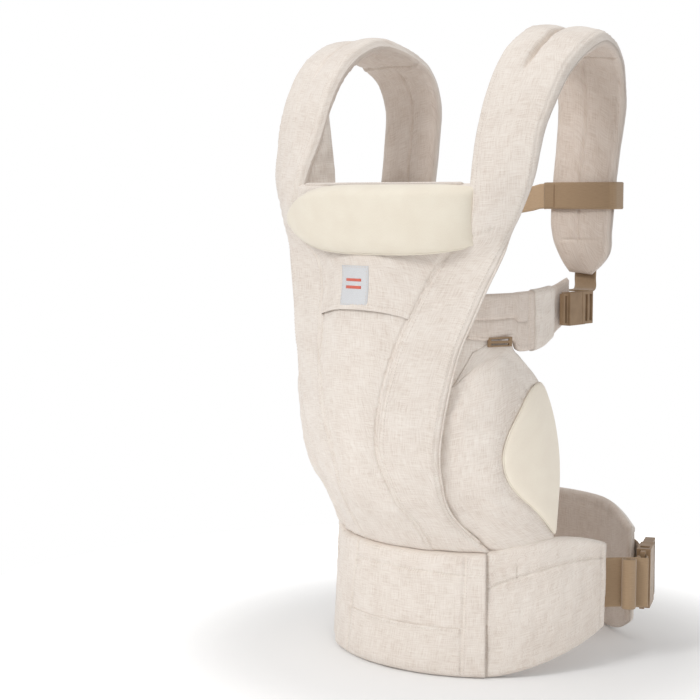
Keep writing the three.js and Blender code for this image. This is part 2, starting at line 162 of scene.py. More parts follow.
# ---- camera, light and floor, in metres ----
# The camera's place, aim and lens are a least squares fit to landmarks of the photo.
CAMERA_AT = (0.9573, -1.3218, 0.460)
CAMERA_AIM = (-0.1086, -0.0563, 0.3027)
LENS_MM = 82.4
FLOOR_R = 0.62
FLOOR_SIDES = 96


def add_camera():
    data = bpy.data.cameras.new("camera")
    data.lens = LENS_MM
    data.sensor_width = 36
    camera = bpy.data.objects.new("camera", data)
    camera.location = CAMERA_AT
    towards = Vector(CAMERA_AIM) - Vector(CAMERA_AT)
    camera.rotation_euler = towards.to_track_quat("-Z", "Y").to_euler()
    bpy.context.scene.collection.objects.link(camera)
    bpy.context.scene.camera = camera


def add_area_light(name, at, aim, size, watts):
    data = bpy.data.lights.new(name, "AREA")
    data.energy = watts
    data.size = size
    light = bpy.data.objects.new(name, data)
    light.location = at
    light.rotation_euler = (Vector(aim) - Vector(at)).to_track_quat("-Z", "Y").to_euler()
    bpy.context.scene.collection.objects.link(light)


def add_world():
    """Even white light from all around, and a white backdrop where the camera looks past the object."""
    scene = bpy.context.scene
    world = bpy.data.worlds.new("studio")
    world.use_nodes = True
    background = world.node_tree.nodes["Background"]
    background.inputs[0].default_value = (1, 1, 1, 1)
    background.inputs[1].default_value = 0.60
    backdrop = world.node_tree.nodes.new("ShaderNodeBackground")
    backdrop.inputs[0].default_value = (1, 1, 1, 1)
    backdrop.inputs[1].default_value = 1.0
    path = world.node_tree.nodes.new("ShaderNodeLightPath")
    choose = world.node_tree.nodes.new("ShaderNodeMixShader")
    links = world.node_tree.links
    links.new(path.outputs["Is Camera Ray"], choose.inputs[0])
    links.new(background.outputs[0], choose.inputs[1])
    links.new(backdrop.outputs[0], choose.inputs[2])
    links.new(choose.outputs[0], world.node_tree.nodes["World Output"].inputs["Surface"])
    scene.world = world
    scene.view_settings.view_transform = "Standard"


def add_lights():
    middle = (0, 0, 0.3)
    add_area_light("key", (-0.45, -2.4, 2.0), middle, 1.0, 29)
    add_area_light("fill", (1.8, -1.6, 1.0), middle, 1.2, 4)
    add_area_light("top", (0.1, -0.2, 2.3), middle, 1.6, 7)


def add_floor():
    """A round white floor that glows towards its rim, so that it fades into the backdrop."""
    mesh = bpy.data.meshes.new("floor")
    angles = [2 * math.pi * k / FLOOR_SIDES for k in range(FLOOR_SIDES)]
    rim = [(FLOOR_R * math.cos(angle), FLOOR_R * math.sin(angle), 0) for angle in angles]
    mesh.from_pydata(rim, [], [tuple(range(FLOOR_SIDES))])
    floor = bpy.data.objects.new("floor", mesh)
    bpy.context.scene.collection.objects.link(floor)
    paint = Nodes("floor_white", 0.9)
    paint.bsdf.inputs["Base Color"].default_value = (0.9, 0.9, 0.9, 1)
    paint.bsdf.inputs["Specular IOR Level"].default_value = 0.1
    away = paint.add("ShaderNodeVectorMath", operation="LENGTH")
    paint.link(paint.scaled((1, 1, 1), "Object"), away.inputs[0])
    glow = paint.add("ShaderNodeMapRange", interpolation_type="SMOOTHSTEP")
    paint.link(away.outputs["Value"], glow.inputs["Value"])
    for socket, value in (("From Min", 0.2), ("From Max", FLOOR_R - 0.08), ("To Min", 0.02), ("To Max", 0.9)):
        glow.inputs[socket].default_value = value
    paint.bsdf.inputs["Emission Color"].default_value = (1, 1, 1, 1)
    paint.link(glow.outputs["Result"], paint.bsdf.inputs["Emission Strength"])
    mesh.materials.append(paint.material)


# ---- materials ----
class Nodes:
    """A short way to wire a procedural material whose pattern follows the cloth's own UV lengths."""

    def __init__(self, name, roughness, sheen=0.0):
        self.material = bpy.data.materials.new(name)
        self.material.use_nodes = True
        self.tree = self.material.node_tree
        self.bsdf = self.tree.nodes["Principled BSDF"]
        self.bsdf.inputs["Roughness"].default_value = roughness
        self.bsdf.inputs["Sheen Weight"].default_value = sheen
        self.bsdf.inputs["Sheen Roughness"].default_value = 0.5

    def add(self, kind, **values):
        node = self.tree.nodes.new(kind)
        for key, value in values.items():
            setattr(node, key, value)
        return node

    def link(self, source, target):
        self.tree.links.new(source, target)

    def scaled(self, factors, coordinates="UV"):
        source = self.add("ShaderNodeTexCoord").outputs[coordinates]
        scale = self.add("ShaderNodeVectorMath", operation="MULTIPLY")
        self.link(source, scale.inputs[0])
        scale.inputs[1].default_value = factors
        return scale.outputs[0]

    def noise(self, vector, detail=2.0, rough=0.5):
        node = self.add("ShaderNodeTexNoise")
        node.inputs["Scale"].default_value = 1.0
        node.inputs["Detail"].default_value = detail
        node.inputs["Roughness"].default_value = rough
        self.link(vector, node.inputs["Vector"])
        return node.outputs["Fac"]

    def wave(self, vector, direction):
        node = self.add("ShaderNodeTexWave", bands_direction=direction)
        node.inputs["Scale"].default_value = 1.0
        node.inputs["Distortion"].default_value = 0.4
        node.inputs["Detail"].default_value = 1.0
        self.link(vector, node.inputs["Vector"])
        return node.outputs["Fac"]

    def ramp(self, fac, stops):
        node = self.add("ShaderNodeValToRGB")
        elements = node.color_ramp.elements
        while len(elements) < len(stops):
            elements.new(0.5)
        for element, (place, colour) in zip(elements, stops):
            element.position = place
            element.color = (*colour, 1)
        self.link(fac, node.inputs[0])
        return node.outputs[0]

    def maths(self, operation, a, b):
        node = self.add("ShaderNodeMath", operation=operation)
        for socket, value in zip(node.inputs, (a, b)):
            if isinstance(value, (int, float)):
                socket.default_value = value
            else:
                self.link(value, socket)
        return node.outputs[0]

    def bump(self, height, distance, strength=1.0):
        node = self.add("ShaderNodeBump")
        node.inputs["Strength"].default_value = strength
        node.inputs["Distance"].default_value = distance
        self.link(height, node.inputs["Height"])
        self.link(node.outputs[0], self.bsdf.inputs["Normal"])

    def colour(self, value):
        self.link(value, self.bsdf.inputs["Base Color"])


def linen(name, light, mid, dark):
    """Plain-weave linen: slubs run along both thread directions, over a fine weave."""
    n = Nodes(name, 0.92, 0.25)
    thread = 1 / (0.8 * MM)
    long_slub = 1 / (14 * MM)
    warp = n.noise(n.scaled((thread, long_slub, 1)), 2.0, 0.6)
    weft = n.noise(n.scaled((long_slub, thread, 1)), 2.0, 0.6)
    blotch = n.noise(n.scaled((1 / (30 * MM), 1 / (42 * MM), 1)), 3.0)
    streaks = n.maths("ADD", n.maths("MULTIPLY", warp, 0.4), n.maths("MULTIPLY", weft, 0.4))
    tone = n.maths("ADD", streaks, n.maths("MULTIPLY", blotch, 0.2))
    n.colour(n.ramp(tone, [(0.36, dark), (0.5, mid), (0.64, light)]))
    pitch = 2 * math.pi / 20 / (1.2 * MM)
    weave_x = n.wave(n.scaled((pitch, pitch, 1)), "X")
    weave_y = n.wave(n.scaled((pitch, pitch, 1)), "Y")
    weave = n.maths("MULTIPLY", n.maths("ADD", weave_x, weave_y), 0.35)
    height = n.maths("ADD", weave, n.maths("MULTIPLY", streaks, 1.3))
    n.bump(height, 0.22 * MM, 0.8)
    return n.material


def cotton(name, light, dark):
    """Smooth jersey: an even cream with a very fine knit."""
    n = Nodes(name, 0.8, 0.3)
    blotch = n.noise(n.scaled((1 / (24 * MM), 1 / (24 * MM), 1)), 3.0)
    fine = n.noise(n.scaled((1 / (0.7 * MM), 1 / (1.4 * MM), 1)), 1.0)
    tone = n.maths("ADD", n.maths("MULTIPLY", blotch, 0.6), n.maths("MULTIPLY", fine, 0.4))
    n.colour(n.ramp(tone, [(0.38, dark), (0.62, light)]))
    n.bump(fine, 0.08 * MM, 0.7)
    return n.material


def webbing(name, light, dark):
    """Ribbed webbing: ribs cross its length, over fine fibres that run along it."""
    n = Nodes(name, 0.75, 0.35)
    rib = n.wave(n.scaled((2 * math.pi / 20 / (1.1 * MM), 1, 1)), "X")
    fibre = n.noise(n.scaled((1 / (6 * MM), 1 / (0.5 * MM), 1)), 2.0)
    tone = n.maths("ADD", n.maths("MULTIPLY", rib, 0.2), n.maths("MULTIPLY", fibre, 0.8))
    n.colour(n.ramp(tone, [(0.25, dark), (0.75, light)]))
    height = n.maths("ADD", rib, n.maths("MULTIPLY", fibre, 0.5))
    n.bump(height, 0.14 * MM, 0.5)
    return n.material


def plastic(name, light, dark):
    """Moulded acetal with a fine spark-eroded grain."""
    n = Nodes(name, 0.42)
    n.bsdf.inputs["Specular IOR Level"].default_value = 0.4
    grain = n.noise(n.scaled((1 / (0.5 * MM),) * 3, "Object"), 3.0)
    cloud = n.noise(n.scaled((1 / (14 * MM),) * 3, "Object"), 2.0)
    n.colour(n.ramp(cloud, [(0.35, dark), (0.65, light)]))
    rough = n.maths("ADD", n.maths("MULTIPLY", grain, 0.2), 0.32)
    n.link(rough, n.bsdf.inputs["Roughness"])
    n.bump(grain, 0.04 * MM, 0.5)
    return n.material


def label_cloth(name):
    """Plain woven satin. The label's two coral bars are pieces of their own."""
    n = Nodes(name, 0.6, 0.2)
    weave = n.noise(n.scaled((1 / (0.4 * MM), 1 / (0.9 * MM), 1)), 1.0)
    n.colour(n.ramp(weave, [(0.3, (0.58, 0.585, 0.60)), (0.7, (0.70, 0.705, 0.72))]))
    n.bump(weave, 0.08 * MM, 0.6)
    return n.material


MAT = {
    "linen": linen("linen", (0.86, 0.80, 0.735), (0.785, 0.71, 0.64), (0.655, 0.56, 0.485)),
    # The lining is the same linen as the outside; this copy is painted darker, as painted shade for inner
    # faces and the arm pads.
    "lining": linen("linen_lining_painted_shade", (0.80, 0.72, 0.65), (0.72, 0.625, 0.55), (0.60, 0.495, 0.415)),
    "cotton": cotton("cream_cotton", (0.83, 0.765, 0.645), (0.795, 0.72, 0.60)),
    # The insert is the same cream cotton; this copy is painted lighter, as painted light against the shade of
    # the seat side.
    "insert": cotton("cream_insert_painted_light", (0.90, 0.825, 0.70), (0.865, 0.78, 0.66)),
    # One tan webbing in two copies: this one is painted darker as painted shade, for the waist, arm and
    # doubled chest webbing; the next is painted lighter as painted light, for the chest loops.
    "webbing": webbing("tan_webbing_painted_shade", (0.40, 0.275, 0.165), (0.315, 0.21, 0.12)),
    "chest_webbing": webbing("tan_chest_webbing_painted_light", (0.58, 0.415, 0.26), (0.47, 0.325, 0.20)),
    "plastic": plastic("tan_plastic", (0.33, 0.22, 0.13), (0.27, 0.175, 0.10)),
    "label": label_cloth("label_cloth"),
    "thread": cotton("pale_thread", (0.72, 0.64, 0.57), (0.62, 0.54, 0.47)),
    "bars": cotton("coral_thread", (0.72, 0.16, 0.10), (0.62, 0.12, 0.08)),
}


# ---- surfaces ----
def unit(values):
    return np.clip(values, 0, 1)


def spline(points, ts):
    """Uniform Catmull-Rom through points along axis 0, sampled at ts from 0 to 1."""
    points = np.asarray(points, float)
    count = len(points)
    ends = [2 * points[0] - points[1], *points, 2 * points[-1] - points[-2]]
    padded = np.array(ends)
    place = unit(np.asarray(ts, float)) * (count - 1)
    k = np.minimum(place.astype(int), count - 2)
    t = (place - k).reshape(-1, *([1] * (points.ndim - 1)))
    a, b, c, d = padded[k], padded[k + 1], padded[k + 2], padded[k + 3]
    square = 2 * a - 5 * b + 4 * c - d
    cube = 3 * b - a - 3 * c + d
    return 0.5 * (2 * b + (c - a) * t + square * t ** 2 + cube * t ** 3)


def sample(rows, us, vs):
    """Points of the surface through rows at every v and u. us holds one list, or one list per v."""
    at_v = spline(rows, vs)
    us = np.asarray(us, float)
    if us.ndim == 1:
        us = np.tile(us, (len(vs), 1))
    return np.array([spline(row, u) for row, u in zip(at_v, us)])


def through(rows):
    """The surface through rows, as a function of us and vs."""
    return lambda us, vs: sample(rows, us, vs)


def normals(grid):
    along = np.gradient(grid, axis=1)
    up = np.gradient(grid, axis=0)
    cross = np.cross(along, up)
    return cross / np.linalg.norm(cross, axis=2, keepdims=True)


def run_along(spots):
    """The distance of each point along a line of points."""
    return np.concatenate([[0], np.cumsum(np.linalg.norm(np.diff(spots, axis=0), axis=1))])


def read_line(places, run, values):
    """The values along a line, read at some distances along it."""
    return np.stack([np.interp(places, run, column) for column in values.T], axis=1)


def lengths(grid):
    """Arc lengths across and up a grid, in its own unit, with the totals of each."""
    across = np.linalg.norm(np.diff(grid, axis=1), axis=2)
    up = np.linalg.norm(np.diff(grid, axis=0), axis=2)
    u = np.concatenate([np.zeros((len(grid), 1)), np.cumsum(across, axis=1)], axis=1)
    v = np.concatenate([np.zeros((1, grid.shape[1])), np.cumsum(up, axis=0)], axis=0)
    return u, v


def ripple(grid, size, seed):
    """Soft random undulation, about -1 to 1, with waves of about that size in mm."""
    rng = np.random.RandomState(seed)
    total = np.zeros(grid.shape[:2])
    waves = 9
    for _ in range(waves):
        direction = rng.normal(size=3)
        direction *= 2 * math.pi / (size * rng.uniform(0.6, 1.7)) / np.linalg.norm(direction)
        total += np.sin(grid @ direction + rng.uniform(0, 6.3))
    return total / math.sqrt(waves)


def rounded(distance, radius):
    """0 at an edge, rising as a quarter circle to 1 at the radius."""
    t = unit(distance / radius)
    return np.sqrt(unit(1 - (1 - t) ** 2))


def graded(count, pull=0.6):
    """Values from 0 to 1 that crowd towards both ends, for rounded edges."""
    t = np.linspace(0, 1, count)
    return (1 - pull) * t + pull * (1 - np.cos(math.pi * t)) / 2


def with_detail(values, spots, half, count=4):
    """Values from 0 to 1 with extra ones close round a few spots, for seams narrower than the grid."""
    extra = [spot + half * k / count for spot in spots for k in range(-count, count + 1)]
    merged = np.unique(np.clip(np.concatenate([values, extra]), min(values), max(values)))
    keep = np.concatenate([[True], np.diff(merged) > half / count / 3])
    keep[-1] = True
    return merged[keep]


def from_sides(u_run, radius):
    """The rounded rise from the left and right sides of a grid, given its arc lengths across."""
    return np.minimum(rounded(u_run, radius), rounded(u_run[:, -1:] - u_run, radius))


def edge_profile(grid, radius, sides="lrbt"):
    """The rounded rise from the named sides of a grid: left, right, bottom and top."""
    u, v = lengths(grid)
    distances = {"l": u, "r": u[:, -1:] - u, "b": v, "t": v[-1:, :] - v}
    profile = np.ones(grid.shape[:2])
    for side in sides:
        profile = np.minimum(profile, rounded(distances[side], radius))
    return profile


def finish_mesh(name, mesh, material, body):
    obj = bpy.data.objects.new(name, mesh)
    bpy.context.scene.collection.objects.link(obj)
    materials = material if isinstance(material, (list, tuple)) else [material]
    for key in materials:
        mesh.materials.append(MAT[key])
    mesh.polygons.foreach_set("use_smooth", [True] * len(mesh.polygons))
    if body:
        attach(obj, body)
    return obj


def cloth_piece(name, points, faces, material, body, uv=None):
    """A smooth piece from points in mm before HOME, with one UV in metres of cloth for each point."""
    mesh = bpy.data.meshes.new(name)
    mesh.from_pydata(((points + HOME) * MM).tolist(), [], faces)
    layer = mesh.uv_layers.new(name="cloth")
    if uv is not None:
        loops = np.empty(len(mesh.loops), dtype=np.int32)
        mesh.loops.foreach_get("vertex_index", loops)
        layer.data.foreach_set("uv", uv[loops].ravel())
    return finish_mesh(name, mesh, material, body)


def shell(name, outer, inner, material, body="carrier", turn_uv=False, inner_slot=0):
    """A closed piece between two grids of the same size, in mm before HOME, with UVs in metres of cloth."""
    rows, cols = outer.shape[:2]
    points = np.concatenate([outer.reshape(-1, 3), inner.reshape(-1, 3)])
    u, v = lengths(outer)
    uv = np.stack([v, u] if turn_uv else [u, v], axis=2).reshape(-1, 2) * MM
    uv = np.concatenate([uv, uv + (0.31, 0.17)])

    def at(side, j, i):
        return side * rows * cols + j * cols + i

    faces = []
    for j in range(rows - 1):
        for i in range(cols - 1):
            faces.append((at(0, j, i), at(0, j, i + 1), at(0, j + 1, i + 1), at(0, j + 1, i)))
    outer_faces = len(faces)
    for j in range(rows - 1):
        for i in range(cols - 1):
            faces.append((at(1, j, i), at(1, j + 1, i), at(1, j + 1, i + 1), at(1, j, i + 1)))
    for i in range(cols - 1):
        faces.append((at(1, 0, i), at(1, 0, i + 1), at(0, 0, i + 1), at(0, 0, i)))
        faces.append((at(0, rows - 1, i), at(0, rows - 1, i + 1), at(1, rows - 1, i + 1), at(1, rows - 1, i)))
    for j in range(rows - 1):
        faces.append((at(0, j, 0), at(0, j + 1, 0), at(1, j + 1, 0), at(1, j, 0)))
        faces.append((at(1, j, cols - 1), at(1, j + 1, cols - 1), at(0, j + 1, cols - 1), at(0, j, cols - 1)))
    obj = cloth_piece(name, points, faces, material, body, uv)
    if inner_slot:
        for polygon in obj.data.polygons[outer_faces:2 * outer_faces]:
            polygon.material_index = inner_slot
    return obj


def mirror_grid(grid, sign):
    if sign > 0:
        return grid
    return grid[:, ::-1] * np.array([-1, 1, 1])


def mirror_points(points, sign):
    return points * np.array([sign, 1, 1])


def lined(name, outer, inner, sign=1, cloths=("linen", "lining"), body="carrier", turn_uv=False):
    """A closed piece with one cloth on its outer face and another on its inner one, mirrored for the left."""
    # By default the inner face takes the lining linen, which is painted darker as painted shade.
    return shell(name, mirror_grid(outer, sign), mirror_grid(inner, sign), cloths, body, turn_uv, 1)


def bilinear(field, us, vs, uv):
    """A field kept on a us by vs grid, read at any (u, v)."""
    x = np.interp(uv[:, 0], us, np.arange(len(us)))
    y = np.interp(uv[:, 1], vs, np.arange(len(vs)))
    i = np.minimum(x.astype(int), len(us) - 2)
    j = np.minimum(y.astype(int), len(vs) - 2)
    shape = (-1, *([1] * (field.ndim - 2)))
    fx = (x - i).reshape(shape)
    fy = (y - j).reshape(shape)
    near = field[j, i] * (1 - fx) + field[j, i + 1] * fx
    far = field[j + 1, i] * (1 - fx) + field[j + 1, i + 1] * fx
    return near * (1 - fy) + far * fy


class Panel:
    """A surface sampled on a grid, and the height of its cloth over that surface, all in mm."""

    def __init__(self, surface, us, vs, depth, sides="lrbt", radius=None):
        self.us = np.asarray(us, float)
        self.vs = np.asarray(vs, float)
        self.grid = surface(self.us, self.vs)
        self.normal = normals(self.grid)
        self.depth = depth if isinstance(depth, np.ndarray) else np.full(self.grid.shape[:2], float(depth))
        self.edge = edge_profile(self.grid, radius or float(self.depth.max()) * 0.6, sides)
        self.lift = np.zeros(self.grid.shape[:2])
        self.inner_lift = np.zeros(self.grid.shape[:2])

    def line(self, points, step=1.2):
        """Evenly spaced (u, v) pairs on the smooth line through a few of them."""
        rough = spline(points, np.linspace(0, 1, 240))
        spots = bilinear(self.grid, self.us, self.vs, rough)
        run = run_along(spots)
        even = np.linspace(0, run[-1], max(3, int(run[-1] / step)))
        return read_line(even, run, rough)

    def near(self, line):
        """Each grid point's distance to a line, and how far along the line its nearest point is."""
        spots = bilinear(self.grid, self.us, self.vs, line)
        flat = self.grid.reshape(-1, 3)
        squared = (flat ** 2).sum(1)[:, None] - 2 * flat @ spots.T + (spots ** 2).sum(1)[None, :]
        nearest = squared.argmin(axis=1)
        distance = np.sqrt(np.maximum(squared[np.arange(len(flat)), nearest], 0))
        run = run_along(spots)
        shape = self.grid.shape[:2]
        return distance.reshape(shape), run[nearest].reshape(shape)

    def seam(self, points, depth=1.0, width=1.6, pucker=0.0, reach=7.0, pitch=8.0, seed=1,
             inner=False, fade=False):
        """A groove along a line, with puckers across it that fade out into the cloth."""
        line = self.line(points)
        distance, along = self.near(line)
        rng = np.random.RandomState(seed)
        shift = rng.uniform(0, 6.3, 3)
        phase = 2 * math.pi * along / pitch + 1.3 * np.sin(along / (2.3 * pitch) + shift[0])
        strength = 0.6 + 0.4 * np.sin(along / (1.7 * pitch) + shift[1])
        groove = np.exp(-(distance / width) ** 2)
        spread = np.exp(-(distance / reach) ** 2) * (1 - 0.8 * groove)
        if fade:
            groove = groove * np.sin(math.pi * unit(along / along.max())) ** 0.45
        change = -depth * groove + pucker * strength * np.sin(phase + shift[2]) * spread
        if inner:
            self.inner_lift -= change
        else:
            self.lift += change
        return line

    def faces(self):
        half = self.depth / 2
        outer = self.grid + self.normal * (-half + (half + self.lift) * self.edge)[..., None]
        inner = self.grid + self.normal * (-half - (half - self.inner_lift) * self.edge)[..., None]
        return outer, inner

    def skin(self, thick=1.4, over=0.0):
        """The faces of a thin cloth that lies over the outer face."""
        half = self.depth / 2
        low = -half + (half + self.lift) * self.edge + over
        outer = self.grid + self.normal * (low + thick)[..., None]
        inner = self.grid + self.normal * low[..., None]
        return outer, inner


# ---- stitches, piping and ribbons ----
STITCH = 2.4
STITCH_PITCH = 3.4
THREAD_WIDE = 0.26
THREAD_HIGH = 0.2
stitch_rows = {}


def stitch(group, outer, panel, points, sign=1, height=0.06):
    """Keeps a row of stitches along a line of a panel's outer grid, to be built with its group."""
    line = panel.line(points, 0.8)
    spots = bilinear(outer, panel.us, panel.vs, line)
    ups = bilinear(normals(outer), panel.us, panel.vs, line)
    row = (mirror_points(spots + ups * height, sign), mirror_points(ups, sign))
    stitch_rows.setdefault(group, []).append(row)


def stitch_mesh(name, body):
    vertices = []
    faces = []
    for spots, ups in stitch_rows.pop(name):
        run = run_along(spots)
        for start in np.arange(0.5, run[-1] - STITCH, STITCH_PITCH):
            ends = np.array([start, start + 0.3 * STITCH, start + 0.7 * STITCH, start + STITCH])
            path = read_line(ends, run, spots)
            up = read_line([start], run, ups)[0]
            side = np.cross(path[3] - path[0], up)
            side /= np.linalg.norm(side) + 1e-9
            first = len(vertices)
            vertices.append(path[0] - up * THREAD_HIGH)
            for middle in (path[1], path[2]):
                vertices.extend([middle + side * THREAD_WIDE, middle + up * THREAD_HIGH,
                                 middle - side * THREAD_WIDE, middle - up * THREAD_HIGH])
            vertices.append(path[3] - up * THREAD_HIGH)
            for k in range(4):
                a = first + 1 + k
                b = first + 1 + (k + 1) % 4
                faces.append((first, b, a))
                faces.append((a, b, b + 4, a + 4))
                faces.append((first + 9, a + 4, b + 4))
    return cloth_piece(name, np.array(vertices), faces, "thread", body)


def tube(name, spots, radius, material, body, sides=8):
    """A closed round tube along a line of points in mm, with rounded ends."""
    spots = np.asarray(spots, float)
    forward = np.gradient(spots, axis=0)
    forward /= np.linalg.norm(forward, axis=1, keepdims=True)
    up = np.cross(forward[0], (0.31, 0.17, 0.93))
    up /= np.linalg.norm(up)
    rings = []
    run = run_along(spots)
    for place, spot, ahead in zip(run, spots, forward):
        up = up - ahead * (up @ ahead)
        up /= np.linalg.norm(up)
        side = np.cross(ahead, up)
        end = min(place, run[-1] - place)
        size = radius * float(rounded(np.array(end + 0.15 * radius), radius * 1.15))
        angles = np.linspace(0, 2 * math.pi, sides, endpoint=False)
        rings.append(spot + size * (np.cos(angles)[:, None] * up + np.sin(angles)[:, None] * side))
    faces = []
    count = len(rings)
    for k in range(count - 1):
        for s in range(sides):
            t = (s + 1) % sides
            faces.append((k * sides + s, k * sides + t, (k + 1) * sides + t, (k + 1) * sides + s))
    faces.append(tuple(reversed(range(sides))))
    faces.append(tuple(range((count - 1) * sides, count * sides)))
    uv = np.stack([np.repeat(run, sides), np.tile(0.8 * np.arange(sides), count)], axis=1) * MM
    return cloth_piece(name, np.concatenate(rings), faces, material, body, uv)


def ribbon(name, spots, across, width, body, thick=WEB_THICK, material="webbing", cols=13):
    """Webbing along a line of points: across is its width direction at each one."""
    spots = np.asarray(spots, float)
    across = np.broadcast_to(np.asarray(across, float), spots.shape)
    forward = np.gradient(spots, axis=0)
    out = np.cross(forward, across)
    out /= np.linalg.norm(out, axis=1, keepdims=True)
    place = graded(cols, 0.7) - 0.5
    grid = spots[:, None, :] + across[:, None, :] * (place * width)[None, :, None]
    profile = rounded(width * (0.5 - np.abs(place)), 0.6 * thick)
    welt = 0.12 * np.exp(-((width * (0.5 - np.abs(place)) - 1.6) / 0.9) ** 2)
    half = thick / 2
    outer = grid + out[:, None, :] * (half * profile + welt)[None, :, None]
    inner = grid - out[:, None, :] * (half * profile + welt)[None, :, None]
    return shell(name, outer[:, ::-1], inner[:, ::-1], material, body, turn_uv=True)


def smooth_path(points, count):
    return spline(points, np.linspace(0, 1, count))


def on_ring(degrees, z, radius):
    angle = np.radians(degrees)
    return np.stack(np.broadcast_arrays(radius * np.sin(angle), -radius * np.cos(angle), z), axis=-1)


# ---- body and straps ----
body_row_points = np.array([
    [(-ox, oy, z), (-ix, iy, z), (0, cy, z), (ix, iy, z), (ox, oy, z)]
    for z, cy, ix, iy, ox, oy in BODY_ROWS
], float)


def body_surface(us, vs):
    return sample(body_row_points, us, vs)


def body_v(z):
    """The v of the body surface at a height."""
    vs = np.linspace(0, 1, 400)
    return float(np.interp(z, spline(body_row_points[:, 2, 2], vs), vs))


BAND_FROM = 0.75
band_rows = spline(body_row_points, np.linspace(0, 1, len(BODY_ROWS)))
band_rows = np.array([spline(row, (BAND_FROM, 0.5 + BAND_FROM / 2, 1)) for row in band_rows])
strap_tail = np.array([(a, [(p + q) / 2 for p, q in zip(a, b)], b) for a, b in STRAP_ROWS], float)
strap_rows = np.concatenate([band_rows, strap_tail])
LAST = len(strap_rows) - 1


def strap_v(row):
    """The v of the strap at one of STRAP_ROWS, counted from its first as 0 (fractions allowed)."""
    return (len(BODY_ROWS) + row) / LAST


def strap_height_v(z):
    """The v of the strap at a height below the shoulder."""
    vs = np.linspace(0, strap_v(4), 400)
    return float(np.interp(z, spline(strap_rows[:, 0, 2], vs), vs))


def strap_rows_for(side):
    """The straps' rows: the right one lies tilted over the shoulder, with its inner edge higher."""
    rows = strap_rows.copy()
    if side == "right":
        for index, (rise, drop, outwards) in STRAP_TILT.items():
            row = rows[len(BODY_ROWS) + index]
            row[0] += (-outwards / 2, 0, rise)
            row[1] += (0, 0, (rise - drop) / 2)
            row[2] += (outwards, 0, -drop)
    return rows


